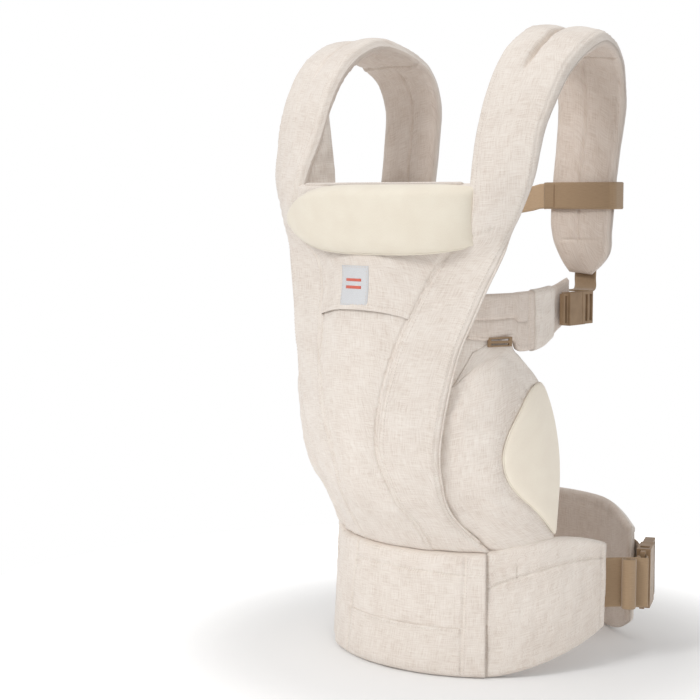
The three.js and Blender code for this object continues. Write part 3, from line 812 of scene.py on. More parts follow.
def build_strap(side, sign):
    root = strap_height_v(424)
    crown = strap_v(4)
    across_seams = [root, strap_v(5.5), strap_v(8.6), strap_v(11.4)]
    us = with_detail(graded(33, 0.5), (0.06, 0.42, 0.46, 0.50, 0.94), 0.03, 3)
    vs = with_detail(np.linspace(0, 1, 250), across_seams, 0.004, 3)
    panel = Panel(through(strap_rows_for(side)), us, vs, 10.0)
    height = panel.grid[..., 2]
    front = (panel.vs < crown)[:, None]
    upper = unit((height - 395) / 60)
    upper = np.where(front, upper * upper * (3 - 2 * upper), 1)
    panel.depth = BODY_DEPTH + (STRAP_DEPTH - BODY_DEPTH) * upper
    u_run, v_run = lengths(panel.grid)
    right = rounded(u_run[:, -1:] - u_run, 7)
    left_full = rounded(u_run, 7)
    left_seam = 0.55 + 0.45 * rounded(u_run, 4)
    joined = np.where(front, unit((height - 418) / 16), 1)
    left = left_seam * (1 - joined) + left_full * joined
    ends = np.minimum(0.35 + 0.65 * rounded(v_run, 12), rounded(v_run[-1:] - v_run, 9))
    panel.edge = np.minimum(np.minimum(left, right), ends)
    u = unit(u_run / u_run[:, -1:])
    bulge = np.sin(math.pi * u) ** 0.6
    panel.lift += 1.8 * bulge * upper + 0.6 * bulge
    seed = 11 if side == "right" else 23
    panel.lift += 0.55 * ripple(panel.grid, 42, seed) + 0.22 * ripple(panel.grid, 15, seed + 40)
    # over the shoulder the padding folds into two lobes
    bend = np.exp(-((panel.vs - crown + 0.02) / 0.065) ** 2)[:, None]
    lobes = 3.4 if side == "right" else 1.2
    panel.lift += lobes * bend * (1 - np.exp(-((u - 0.465) / 0.13) ** 2)) * np.sin(math.pi * u) ** 0.5
    crease = [(0.48, strap_v(4.7)), (0.475, crown), (0.46, strap_v(3)), (0.44, strap_v(1.7))]
    panel.seam(crease, 2.4 * lobes, 2.6, fade=True, seed=seed)
    panel.seam([(0.0, root), (0.3, root + 0.004), (0.55, root + 0.012)], 1.3, 1.1, 0.25, seed=seed)
    panel.seam([(0.06, 0.01), (0.06, 0.3), (0.06, root)], 0.9, 1.0, 0.5, 6, 10, seed + 1)
    panel.seam([(0.07, root), (0.07, root + 0.08), (0.07, crown)], 0.45, 1.2, 0.3, 6, 9, seed + 1)
    panel.seam([(0.94, 0.01), (0.94, 0.5), (0.94, 0.97)], 0.7, 1.1, 0.5, 6, 9, seed + 2)
    # lining: a seam down the middle, some across, and puckers where it bends inwards
    middle = [(0.46, strap_v(6)), (0.46, strap_v(9)), (0.48, strap_v(11.4))]
    panel.seam(middle, 1.9, 1.5, 0.45, 9, 10, seed + 3, True)
    across = [(0.0, strap_v(5.6)), (0.48, strap_v(5.5)), (1.0, strap_v(5.4))]
    panel.seam(across, 2.2, 1.2, 0.4, 8, 9, seed + 4, True)
    panel.seam([(0.2, strap_v(11.4)), (0.85, strap_v(11.35))], 1.4, 1.3, 0.3, 6, 8, seed + 5, True)
    bent = [(0.08, strap_v(2.6)), (0.5, strap_v(4.9)), (0.92, strap_v(2.6))]
    panel.seam(bent, 1.3, 1.5, 0.6, 9, 7, seed + 6, True)
    wide_bend = np.exp(-((panel.vs - strap_v(4.2)) / 0.09) ** 2)[:, None]
    gather = np.sin(2 * math.pi * v_run / 6.5 + 2 * np.sin(u_run / 9))
    rim = np.exp(-(u_run / 10) ** 2) + np.exp(-((u_run[:, -1:] - u_run) / 10) ** 2)
    panel.inner_lift += 0.9 * wide_bend * gather * rim
    panel.lift += 0.3 * wide_bend * gather * rim
    panel.inner_lift += 0.55 * ripple(panel.grid, 22, seed + 7) + 1.6 * bulge * (panel.vs > crown)[:, None]
    outer, inner = panel.faces()
    obj = lined(f"strap_{side}", outer, inner, sign, turn_uv=True)
    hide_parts(f"side_band_{side}", f"strap_cover_{side}", f"strap_foam_{side}", f"strap_lining_{side}")
    for row in ([(0.105, 0.02), (0.11, 0.2), (0.11, root)],
                [(0.11, root + 0.01), (0.11, root + 0.05), (0.11, crown - 0.09)],
                [(0.0, root + 0.005), (0.3, root + 0.009), (0.55, root + 0.017)],
                [(0.905, 0.02), (0.905, 0.2), (0.905, 0.5)]):
        stitch("strap_stitching", outer, panel, row, sign)
    pipe_line = panel.line([(1, 0.012), (1, 0.2), (1, root + 0.03)], 2.2)
    edge = bilinear((outer + inner) / 2, panel.us, panel.vs, pipe_line)
    sink = unit((pipe_line[:, 1] - root + 0.02) / 0.05)[:, None]
    edge = edge + np.array([0.5, -0.2, 0]) * (1 - sink) - np.array([2.5, 0, 0]) * sink
    pipe = tube(f"band_piping_{side}", mirror_points(edge, sign), 1.25, "linen", "carrier")


def build_body():
    us = 0.25 - 0.012 + (0.5 + 0.024) * graded(71, 0.3)
    us = with_detail(us, (0.262, 0.5, 0.738), 0.012, 3)
    vs = np.linspace(0, body_v(BODY_TOP - 0.5), 150)
    panel = Panel(body_surface, us, vs, BODY_DEPTH, "bt", 9)
    u_run, v_run = lengths(panel.grid)
    sides = 0.5 + 0.5 * from_sides(u_run, 5)
    panel.edge = np.minimum(sides, np.minimum(0.5 + 0.5 * rounded(v_run, 14), rounded(v_run[-1:] - v_run, 7)))
    panel.lift += 0.7 * ripple(panel.grid, 60, 31) + 0.3 * ripple(panel.grid, 20, 32)
    for u, seed in ((0.262, 33), (0.738, 34)):
        panel.seam([(u, 0.01), (u, 0.4), (u, body_v(420))], 1.5, 1.1, 0.6, 9, 11, seed)
    panel.inner_lift += 0.6 * ripple(panel.grid, 36, 35)
    panel.seam([(0.5, 0.05), (0.5, 0.5), (0.5, body_v(420))], 1.4, 1.6, 0.5, 9, 9, 36, True)
    outer, inner = panel.faces()
    obj = lined("front_body", outer, inner)
    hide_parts("front_lower_panel", "body_wadding", "body_lining", "upper_yoke")


def build_pocket_panel():
    """The panel with the label lies over the lower one, with a free, slightly arched hem."""
    low = body_v(POCKET_Z - 2)
    high = body_v(426)
    us = 0.250 + 0.500 * graded(71, 0.3)
    steps = with_detail(np.linspace(0, 1, 60), (0.03,), 0.03, 5)
    arch = 0.020 * (1 - ((us - 0.5) / 0.25) ** 2)
    grid = np.zeros((len(steps), len(us), 3))
    for i, u in enumerate(us):
        start = low - 0.006 + arch[i]
        grid[:, i] = body_surface([u], start + (high - start) * steps)[:, 0]
    panel = Panel(lambda a, b: grid, us, steps, BODY_DEPTH, "", 5)
    u_run, v_run = lengths(grid)
    panel.edge = 0.5 + 0.5 * from_sides(u_run, 5)
    middle = np.sin(math.pi * (us[None, :] - us[0]) / (us[-1] - us[0]))
    panel.lift += 1.0 + 0.35 * ripple(grid, 40, 41) + 0.2 * ripple(grid, 14, 42)
    panel.lift += 1.5 * middle * np.exp(-(v_run / 5.0) ** 2)
    outer, inner = panel.skin(1.2, 0.2)
    round_off = (1 - rounded(v_run, 1.2)) * 0.6
    outer = outer - panel.normal * round_off[..., None]
    inner = inner + panel.normal * round_off[..., None]
    obj = shell("front_pocket", outer, inner, "linen")
    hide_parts("front_pocket_panel")
    stitch("front_stitching", outer, panel, [(0.27, 0.06), (0.5, 0.06), (0.73, 0.06)])


def build_label():
    """A woven label sewn on flat, with two plain coral bars."""
    across = np.linspace(0, 1, 22)
    vs = np.linspace(body_v(357.5), body_v(396), 30)
    grid = np.zeros((len(vs), len(across), 3))
    for j, (v, rise) in enumerate(zip(vs, np.linspace(0, 1, len(vs)))):
        left, right = (low + (high - low) * rise for low, high in zip(LABEL_LOW, LABEL_TOP))
        grid[j] = body_surface(left + (right - left) * across, [v])[0]
    panel = Panel(lambda us, vs: grid, across, np.linspace(0, 1, len(vs)), 1.0, "", 1)
    u_run, v_run = lengths(grid)
    rim = np.minimum.reduce([u_run, u_run[:, -1:] - u_run, v_run, v_run[-1:] - v_run])
    outer = grid + panel.normal * (2.5 + 0.5 * rounded(rim, 0.8) + 0.12 * ripple(grid, 12, 51))[..., None]
    inner = grid + panel.normal * 1.4
    obj = shell("woven_label", outer, inner, "label")
    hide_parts("label")
    corners = [(0.06, 0.05), (0.94, 0.05), (0.94, 0.95), (0.06, 0.95)]
    for a, b in zip(corners, corners[1:] + corners[:1]):
        stitch("label_stitching", outer, panel, [a, b])
    for index, place in enumerate((0.40, 0.58)):
        spots = np.stack(np.meshgrid(np.linspace(0.22, 0.78, 9), place + np.linspace(0, 0.07, 5)), axis=-1)
        shape = (5, 9, 3)
        face = bilinear(outer, panel.us, panel.vs, spots.reshape(-1, 2)).reshape(shape)
        up = bilinear(panel.normal, panel.us, panel.vs, spots.reshape(-1, 2)).reshape(shape)
        bar = shell(f"label_bar_{index}", face + up * 0.2, face - up * 0.4, "bars")


# ---- head support ----
def head_surface(us, vs):
    """The flap's one end lies over the edge of the strap, and the other is tucked behind it."""
    u = np.asarray(us)[None, :]
    x = -FLAP_HALF - 7 + (2 * FLAP_HALF + 13.5) * u
    left = unit(1 - 2 * u)
    right = unit(2 * u - 1)
    low = 407 + 20 * left ** 2.6 + 9 * left ** 14 + 9 * right ** 4
    high = 473.5 - 22 * left ** 4 - 12 * left ** 14 - 4 * right ** 8
    v = np.asarray(vs)[:, None]
    z = low + (high - low) * v
    turned_in = 13 * unit((v - 0.8) / 0.2) ** 2 * (1 - left ** 4) * (1 - right ** 4)
    y = -202 + 23 * left ** 2.4 + 31 * right ** 3.2 - 4 * np.sin(math.pi * v) + turned_in
    return np.stack(np.broadcast_arrays(x, y, z), axis=-1).astype(float)


def build_head_support():
    panel = Panel(head_surface, graded(81, 0.45), graded(37, 0.5), 8.4, "lrbt", 15)
    panel.edge = panel.edge ** 0.9
    root = unit((panel.vs - 0.82) / 0.18)[:, None]
    panel.depth = panel.depth * (1 - 0.7 * root)
    panel.lift += (2.0 * panel.edge + 0.35 * ripple(panel.grid, 55, 61)) * (1 - root)
    outer, inner = panel.faces()
    obj = lined("head_support_pad", outer, inner, 1, ("cotton", "linen"), "head_support")
    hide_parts("head_support_cover", "head_support_wadding")
    loop = [(0.004, 0.5), (0.02, 0.04), (0.12, 0.0), (0.5, 0.0), (0.88, 0.0), (0.98, 0.04), (0.996, 0.5)]
    rim = bilinear((outer + inner) / 2, panel.us, panel.vs, panel.line(loop, 2.0))
    pipe = tube("head_support_piping", rim, 1.1, "cotton", "head_support")
    # the seam that the flap turns on is sewn along the top edge of the body
    us = np.linspace(0.27, 0.73, 60)
    top = body_surface(us, [body_v(BODY_TOP)])
    spots = top[0] - normals(body_surface(us, [body_v(BODY_TOP - 4), body_v(BODY_TOP)]))[1] * 3.5
    seam = tube("head_support_seam", spots - np.array([0, 0, 0.9]), 1.9, "linen", "carrier")


# ---- neck gussets and side webs ----
def build_gusset(side, sign):
    rows = np.array([
        [(104, -164, 430), (98, -150, 430), (93, -133, 430)],
        [(105, -162, 478), (98, -147, 478), (93, -130, 478)],
        [(103, -150, 520), (98, -143, 520), (94, -134, 520)],
        [(99, -139, 546), (98, -137, 546), (97, -135, 546)],
    ], float)
    panel = Panel(through(rows), graded(25), graded(60, 0.4), 2.0, "lrbt", 1.6)
    fold = 0.9 * ripple(panel.grid, 26, 71) + 1.2 * np.sin(math.pi * panel.us[None, :])
    panel.lift += fold
    panel.inner_lift -= fold
    outer, inner = (mirror_grid(g, sign) for g in panel.faces())
    obj = shell(f"neck_web_{side}", outer, inner, "linen")
    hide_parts(f"neck_gusset_{side}")


def build_side_web(side, sign):
    """The flat cloth between the band, the arm strap and the top of the seat side panel."""
    rows = np.array([
        [(80, -182, 262), (88, -174, 262), (94, -162, 262)],
        [(85, -181, 290), (95, -168, 290), (104, -152, 290)],
        [(91, -179, 318), (101, -165, 318), (111, -148, 318)],
        [(96, -177, 345), (105, -163, 345), (113, -146, 345)],
    ], float)
    panel = Panel(through(rows), graded(25), graded(41), 2.2, "lrbt", 1.8)
    panel.lift += 0.5 * ripple(panel.grid, 22, 171)
    outer, inner = panel.faces()
    obj = lined(f"side_web_{side}", outer, inner, sign)


# ---- seat sides ----
seat_tab_rows = [
    ((106, -160, 308), (112, -149, 313), (117, -138, 316), (121.5, -121, 317)),
    ((110.5, -152, 325), (114, -145, 326), (118, -137, 326.5), (121.5, -127, 326.5)),
]
# Where the front of each row is sewn behind the edge of the side band.
seat_roots = [(81, -113, 122), (62, -149, 158), (64, -170, 188), (70, -178, 220), (77, -182, 250),
              (82, -182, 268), (86, -180, 280), (92, -175, 290), (104, -164, 318)]
seat_points = np.array([(root, *row) for root, row in zip(seat_roots, [*SEAT_ROWS, *seat_tab_rows])], float)


def insert_edge(vs):
    """The u of the insert's arc on the seat side panel, whose first quarter lies behind the band."""
    along = unit((vs - INSERT_FROM) / (INSERT_TO - INSERT_FROM))
    return 1 - 0.75 * INSERT_DEPTH * np.sin(math.pi * along ** 1.2) ** 0.72


def build_seat_side(side, sign):
    seed = 81 if side == "right" else 91
    us = with_detail(graded(61, 0.3), (0.25,), 0.02, 3)
    panel = Panel(through(seat_points), us, np.linspace(0, 1, 130), SEAT_DEPTH, "lrbt", 6)
    tab = unit((panel.vs - 0.76) / 0.1)[:, None]
    panel.depth = SEAT_DEPTH + (TAB_DEPTH - SEAT_DEPTH) * tab
    bulge_u = np.sin(math.pi * unit((panel.us - 0.2) / 0.8))[None, :] ** 0.7
    bulge_v = np.sin(math.pi * unit(panel.vs / 0.86))[:, None] ** 0.8
    panel.lift += 3.0 * bulge_u * bulge_v
    smooth_outer, _ = panel.faces()
    panel.lift += (0.9 * ripple(panel.grid, 48, seed) + 0.4 * ripple(panel.grid, 17, seed + 1)) * (1 - tab)
    vs = np.linspace(INSERT_FROM, INSERT_TO, 21)
    arc = [(u, v) for u, v in zip(insert_edge(vs), vs)]
    panel.seam([(u - 0.006, v) for u, v in arc], 1.6, 1.1, 0.5, 9, 11, seed + 2)
    panel.seam([(u - 0.046, v) for u, v in arc], 0.9, 1.0, 0.5, 8, 10, seed + 3)
    near_insert = unit((insert_edge(panel.vs)[:, None] - panel.us[None, :]) / 0.03)[..., None]
    outer, inner = panel.faces()
    outer = outer * near_insert + (smooth_outer - panel.normal * 0.8) * (1 - near_insert)
    obj = lined(f"seat_side_{side}", outer, inner, sign)
    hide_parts(f"seat_side_panel_{side}", f"seat_tab_{side}")
    build_seat_insert(side, sign, panel, smooth_outer)
    for inset in (0.03, 0.05):
        stitch("seat_stitching", outer, panel, [(u - inset, v) for u, v in arc], sign)


def build_seat_insert(side, sign, panel, face):
    """The smooth cream insert lies over the rear of the seat side's outer face, inside the arc."""
    insert_vs = INSERT_FROM + 0.006 + (INSERT_TO - INSERT_FROM - 0.012) * graded(81, 0.3)
    cols = graded(41, 0.4)
    grid = np.zeros((len(insert_vs), len(cols), 3))
    for j, (v, edge) in enumerate(zip(insert_vs, insert_edge(insert_vs))):
        uv = np.stack([edge + (1.0 - edge) * cols, np.full(len(cols), v)], axis=1)
        grid[j] = bilinear(face, panel.us, panel.vs, uv)
    n = normals(grid)
    a, b = lengths(grid)
    rim = np.minimum.reduce([a + 0.2, b + 1.0, b[-1:] - b + 1.0])
    height = 0.2 + 2.6 * rounded(rim, 14)
    height = np.minimum(height, 0.2 + 2.6 * rounded(a[:, -1:] - a + 1.0, 9))
    # The insert's cream is painted lighter than the cotton, as painted light.
    cream = shell(f"seat_cream_insert_{side}", mirror_grid(grid + n * height[..., None], sign),
                  mirror_grid(grid - n * 1.2, sign), "insert")
    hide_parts(f"seat_insert_{side}")
    pipe = tube(f"seat_insert_piping_{side}", mirror_points(grid[:, 0] + n[:, 0] * 0.5, sign), 0.85, "cotton",
                "carrier")


# ---- arm straps ----
arm_points = np.array([
    [(x, y, low) for x, y, low, _ in ARM_ROWS],
    [(x, y, high) for x, y, _, high in ARM_ROWS],
], float)


def build_arm_strap(side, sign):
    seed = 101 if side == "right" else 111
    us = with_detail(np.linspace(0, 1, 90), (0.63,), 0.012, 3)
    vs = with_detail(graded(33, 0.5), (0.09, 0.46), 0.04, 3)
    panel = Panel(through(arm_points), us, vs, ARM_THICK, "lrbt", 4.5)
    panel.lift += 0.9 + 0.45 * ripple(panel.grid, 30, seed) + 0.2 * ripple(panel.grid, 12, seed + 1)
    panel.inner_lift += 0.5
    panel.seam([(0.0, 0.44), (0.3, 0.45), (0.62, 0.50)], 1.8, 1.2, 0.45, 8, 9, seed + 2)
    panel.seam([(0.63, 0.04), (0.63, 0.96)], 1.6, 1.2, 0.4, 7, 8, seed + 3)
    panel.seam([(0.0, 0.09), (0.3, 0.09), (0.56, 0.10)], 0.9, 1.1, 0.3, 5, 8, seed + 4)
    outer, inner = panel.faces()
    # Both faces of the arm pad take the darker lining linen, as painted shade where the band and strap shade
    # it.
    obj = lined(f"arm_pad_{side}", outer, inner, sign, ("lining", "lining"))
    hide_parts(f"arm_strap_{side}")
    build_arm_keeper(side, sign, panel, outer, inner)
    for points in ([(0.0, 0.42), (0.3, 0.43), (0.61, 0.48)], [(0.62, 0.06), (0.62, 0.94)],
                   [(0.0, 0.12), (0.3, 0.12), (0.55, 0.13)]):
        stitch("arm_stitching", outer, panel, points, sign)
    build_arm_webbing(side, sign)


def build_arm_keeper(side, sign, panel, outer, inner):
    """A folded band round the arm strap."""
    keeper_us = np.linspace(0.665, 0.815, 25)
    keeper_vs = graded(33, 0.5)
    uv = np.stack([a.ravel() for a in np.meshgrid(keeper_us, keeper_vs)], axis=1)
    shape = (len(keeper_vs), len(keeper_us), 3)
    front = bilinear(outer, panel.us, panel.vs, uv).reshape(shape)
    back = bilinear(inner, panel.us, panel.vs, uv).reshape(shape)
    n = bilinear(panel.normal, panel.us, panel.vs, uv).reshape(shape)
    a, _ = lengths(front)
    side_round = from_sides(a, 1.2)[..., None]
    grow = 1.0 + 0.9 * side_round
    tall = np.array([0, 0, 1.0]) * (2 * keeper_vs[:, None, None] - 1) ** 9
    keeper = shell(f"arm_keeper_band_{side}", mirror_grid(front + n * grow + tall, sign),
                   mirror_grid(back - n * grow + tall, sign), "linen")
    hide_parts(f"arm_keeper_{side}")


def build_arm_webbing(side, sign):
    """It hangs between the strap and the plug."""
    path = [(115.5, -4, 368), (114.5, 8, 368.4), (112, 15, 372), (108, 21, 379), (106.5, 24, 387)]
    web = smooth_path(path, 24)
    # It takes the darker webbing copy, painted shade.
    piece = ribbon(f"arm_web_{side}", mirror_points(web + np.array([0, 0, 0.8]), sign),
                   np.array([sign, 0, 0]), NARROW_WEB, None)
    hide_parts(f"arm_webbing_{side}")
    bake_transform(piece)


# ---- belt ----
def belt_surface(us, vs):
    degrees = -WING_END + 2 * WING_END * np.asarray(us)[None, :]
    beyond = unit((np.abs(degrees) - FRONT_HALF) / (WING_END - FRONT_HALF))
    degrees = degrees * (1 + 0.014 * beyond ** 2 * np.asarray(vs)[:, None])
    low = WING_RISE * beyond ** 1.4
    top = BELT_FRONT_TOP + 13 * np.sin(math.pi * beyond) ** 0.9
    v = np.asarray(vs)[:, None]
    z = low + (top - low) * v
    radius = BELT_R + BELT_FLARE * (1 - v * (1 - beyond ** 2)) + 0 * z
    angle = np.radians(degrees + 0 * z)
    return np.stack([radius * np.sin(angle), -radius * np.cos(angle), z], axis=-1)


def belt_u(degrees):
    return (degrees + WING_END) / (2 * WING_END)


def build_belt():
    seams = [belt_u(sign * d) for sign in (-1, 1) for d in (FRONT_HALF + 0.4, 48, WING_END - 3.5)]
    us = with_detail(graded(221, 0.15), seams, 0.006, 3)
    vs = with_detail(graded(71, 0.3), (0.73, 0.765, 0.80), 0.02, 3)
    panel = Panel(belt_surface, us, vs, BELT_DEPTH, "lrbt", 6.5)
    panel.lift += 0.6 * ripple(panel.grid, 55, 121) + 0.25 * ripple(panel.grid, 18, 122)
    panel.inner_lift += 0.5 * ripple(panel.grid, 30, 123)
    for sign in (-1, 1):
        gap = belt_u(sign * (FRONT_HALF + 0.4))
        a, b, c = (belt_u(sign * d) for d in (FRONT_HALF + 1, 60, WING_END - 3.5))
        panel.seam([(gap, 0.0), (gap, 1.0)], 2.2, 1.0, 0.4, 8, 12, 120 + sign)
        panel.seam([(a, 0.715), (b, 0.765), (c, 0.815)], 1.6, 1.1, 0.4, 7, 10, 124 + sign)
        panel.seam([(c, 0.03), (c, 0.97)], 1.5, 1.1, 0.35, 6, 9, 130 + sign)
        mark = belt_u(sign * 48)
        panel.seam([(mark, 0.74), (mark, 0.82)], 1.2, 0.9, 0.0, 5, 8, 133 + sign)
    outer, inner = panel.faces()
    obj = lined("belt", outer, inner)
    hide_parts("belt_wing_cover_right", "belt_wing_cover_left", "belt_foam", "belt_lining")
    for sign in (-1, 1):
        a, b, c = (belt_u(sign * d) for d in (FRONT_HALF + 1, 60, WING_END - 4.4))
        stitch("belt_stitching", outer, panel, [(a, 0.735), (b, 0.785), (c, 0.835)])
        stitch("belt_stitching", outer, panel, [(c, 0.04), (c, 0.96)])


def build_belt_front():
    """The front cover lies over the wings, with folded side edges and a pocket between its two long seams."""
    from_u = belt_u(-FRONT_HALF)
    to_u = belt_u(FRONT_HALF)
    us = from_u + (to_u - from_u) * graded(151, 0.25)
    vs = with_detail(graded(51, 0.4), (0.42, 0.83), 0.016, 3)
    panel = Panel(belt_surface, us, vs, BELT_DEPTH, "bt", 6.5)
    u_run, _ = lengths(panel.grid)
    panel.lift += 1.5 + 0.5 * ripple(panel.grid, 50, 141) + 0.25 * ripple(panel.grid, 17, 142)
    sides = [[(belt_u(-24), 0.02), (belt_u(-18.5), 0.98)], [(belt_u(28), 0.02), (belt_u(29), 0.98)]]
    for side in sides:
        panel.seam(side, 1.6, 1.2, 0.4, 7, 10, 143)
    panel.seam([(belt_u(-18.5), 0.85), (belt_u(5), 0.84), (belt_u(29), 0.82)], 1.3, 1.0, 0.35, 7, 10, 146)
    outer, inner = panel.skin(1.4, 0.1)
    side_round = from_sides(u_run, 1.5)[..., None]
    outer = outer - panel.normal * 0.7 * (1 - side_round)
    inner = inner + panel.normal * 0.6 * (1 - side_round)
    obj = shell("belt_front", outer, inner, "linen")
    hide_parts("belt_front_cover")
    for (a, low), (b, high) in sides:
        stitch("belt_stitching", outer, panel, [(a + 0.006, low + 0.01), (b + 0.006, high - 0.01)])


def build_belt_pocket():
    pocket_us = graded(91, 0.3)
    pocket_vs = np.linspace(0.04, 1, 40)
    grid = np.zeros((len(pocket_vs), len(pocket_us), 3))
    for j, rise in enumerate(pocket_vs):
        left = belt_u(-23.6 + 2.2 * rise)
        right = belt_u(27.7)
        for i, u in enumerate(pocket_us):
            grid[j, i] = belt_surface([left + (right - left) * u], [rise * (0.41 - 0.01 * u)])[0, 0]
    pocket = Panel(lambda us, vs: grid, pocket_us, pocket_vs, BELT_DEPTH, "", 5)
    a, b = lengths(pocket.grid)
    pocket.lift += 1.5 + 1.4 + 0.4 * ripple(pocket.grid, 30, 148)
    pocket.lift += 0.8 * np.exp(-((b[-1:] - b) / 4) ** 2) * np.sin(math.pi * a / a[:, -1:])
    pocket_outer, pocket_inner = pocket.skin(1.2, 0.0)
    rim = rounded(b[-1:] - b, 1.2)
    sewn = 1 - from_sides(a, 7)
    low = unit((9 - b) / 9) ** 2 * 3.6
    pocket_outer = pocket_outer - pocket.normal * (0.8 * (1 - rim) + low + 1.5 * sewn)[..., None]
    pocket_inner = pocket_inner - pocket.normal * (0.9 + low)[..., None]
    patch = shell("belt_pocket", pocket_outer, pocket_inner, "linen")
    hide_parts("belt_pocket_panel")
    stitch("belt_stitching", pocket_outer, pocket, [(0.03, 0.94), (0.5, 0.94), (0.97, 0.94)])


# ---- lumbar pad ----
def pad_radius(degrees):
    """The lumbar pad's outer radius, which opens out towards its two ends."""
    inwards = unit((180 - PAD_START - np.abs(180 - np.asarray(degrees, float))) / 20)
    return BELT_R + 9 * (1 - inwards) ** 2


def build_lumbar_pad():
    span = 360 - 2 * PAD_START

    def surface(us, vs):
        degrees = PAD_START + span * np.asarray(us)[None, :]
        inwards = unit((180 - PAD_START - np.abs(180 - degrees)) / 34)
        low = 22 * (1 - inwards) ** 3
        high = 138.5 - 17 * (1 - inwards) ** 2
        z = low + (high - low) * np.asarray(vs)[:, None]
        angle = np.radians(degrees + 0 * z)
        radius = pad_radius(degrees) + 0 * z
        return np.stack([radius * np.sin(angle), -radius * np.cos(angle), z], axis=-1)

    us = with_detail(graded(131, 0.3), (0.03, 0.97), 0.008, 3)
    vs = with_detail(graded(49, 0.4), (0.3, 0.7), 0.02, 3)
    panel = Panel(surface, us, vs, BELT_DEPTH - 1.6, "lrbt", 6.5)
    panel.lift += 0.4 * ripple(panel.grid, 50, 151) + 0.2 * ripple(panel.grid, 18, 152)
    panel.inner_lift += 1.2 * np.sin(math.pi * panel.vs[:, None]) ** 0.5 + 0.5 * ripple(panel.grid, 28, 153)
    panel.seam([(0.04, 0.9), (0.5, 0.92), (0.96, 0.9)], 1.0, 1.2, 0.5, 9, 10, 157, True)
    panel.seam([(0.03, 0.06), (0.03, 0.94)], 1.2, 1.1, 0.3, 5, 8, 158)
    panel.seam([(0.97, 0.06), (0.97, 0.94)], 1.2, 1.1, 0.3, 5, 8, 159)
    outer, inner = panel.faces()
    obj = lined("lumbar_pad", outer, inner)
    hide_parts("lumbar_pad_cover", "lumbar_pad_foam")
    stitch("lumbar_stitching", outer, panel, [(0.04, 0.07), (0.5, 0.06), (0.96, 0.07)])
    stitch("lumbar_stitching", outer, panel, [(0.04, 0.93), (0.5, 0.94), (0.96, 0.93)])


# ---- webbing ----
def build_waist_webbing():
    up = np.array([0, 0, 1.0])
    along = np.array([math.cos(math.radians(BUCKLE_AT)), math.sin(math.radians(BUCKLE_AT)), 0])
    out = np.array([math.sin(math.radians(BUCKLE_AT)), -math.cos(math.radians(BUCKLE_AT)), 0])
    bar = on_ring(BUCKLE_AT, 0.0, BUCKLE_R) - along * 36.5
    path = [on_ring(d, 0.0, r) for d, r in ((85.5, 146.5), (88, 147.5), (91, 150.5))]
    path += [bar - along * 9 - out * 3.2, bar - along * 1 - out * 4.6]
    path += [bar + along * 4.2, bar + out * 4.6, bar - along * 6 + out * 4.4, bar - along * 10 + out * 5.5]
    # the spare webbing is rolled up beside the buckle
    centre = bar - along * 19 - out * 11.5
    steps = 8 * 2.4
    for step in range(1, int(steps) + 1):
        angle = 2 * math.pi * step / 8 - 0.4
        radius = 7.8 - 5.2 * step / steps
        path.append(centre + radius * (along * math.cos(angle) + out * math.sin(angle)))
    web = smooth_path(np.array(path) + up * WAIST_Z, 260)
    # The waist webbing takes the darker webbing copy, painted shade.
    piece = ribbon("waist_web_right", web, up, WIDE_WEB, "carrier", thick=1.3, cols=21)
    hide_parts("waist_webbing_right")
    run = float(run_along(web)[-1]) * MM
    around = [on_ring(d, 0.0, r) for d, r in ((117, 162.3), (121, 161.3))]
    around += [on_ring(float(d), 0.0, float(pad_radius(d)) + 3.6) for d in range(126, 259, 6)]
    around += [on_ring(d, 0.0, r) for d, r in ((266, 150.5), (271, 147.5), (274.5, 146.5))]
    web = smooth_path(np.array(around) + up * WAIST_Z, 170)
    piece = ribbon("waist_web_left", web, up, WIDE_WEB, "carrier", cols=21)
    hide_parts("waist_webbing_left")
    run = float(run_along(web)[-1]) * MM


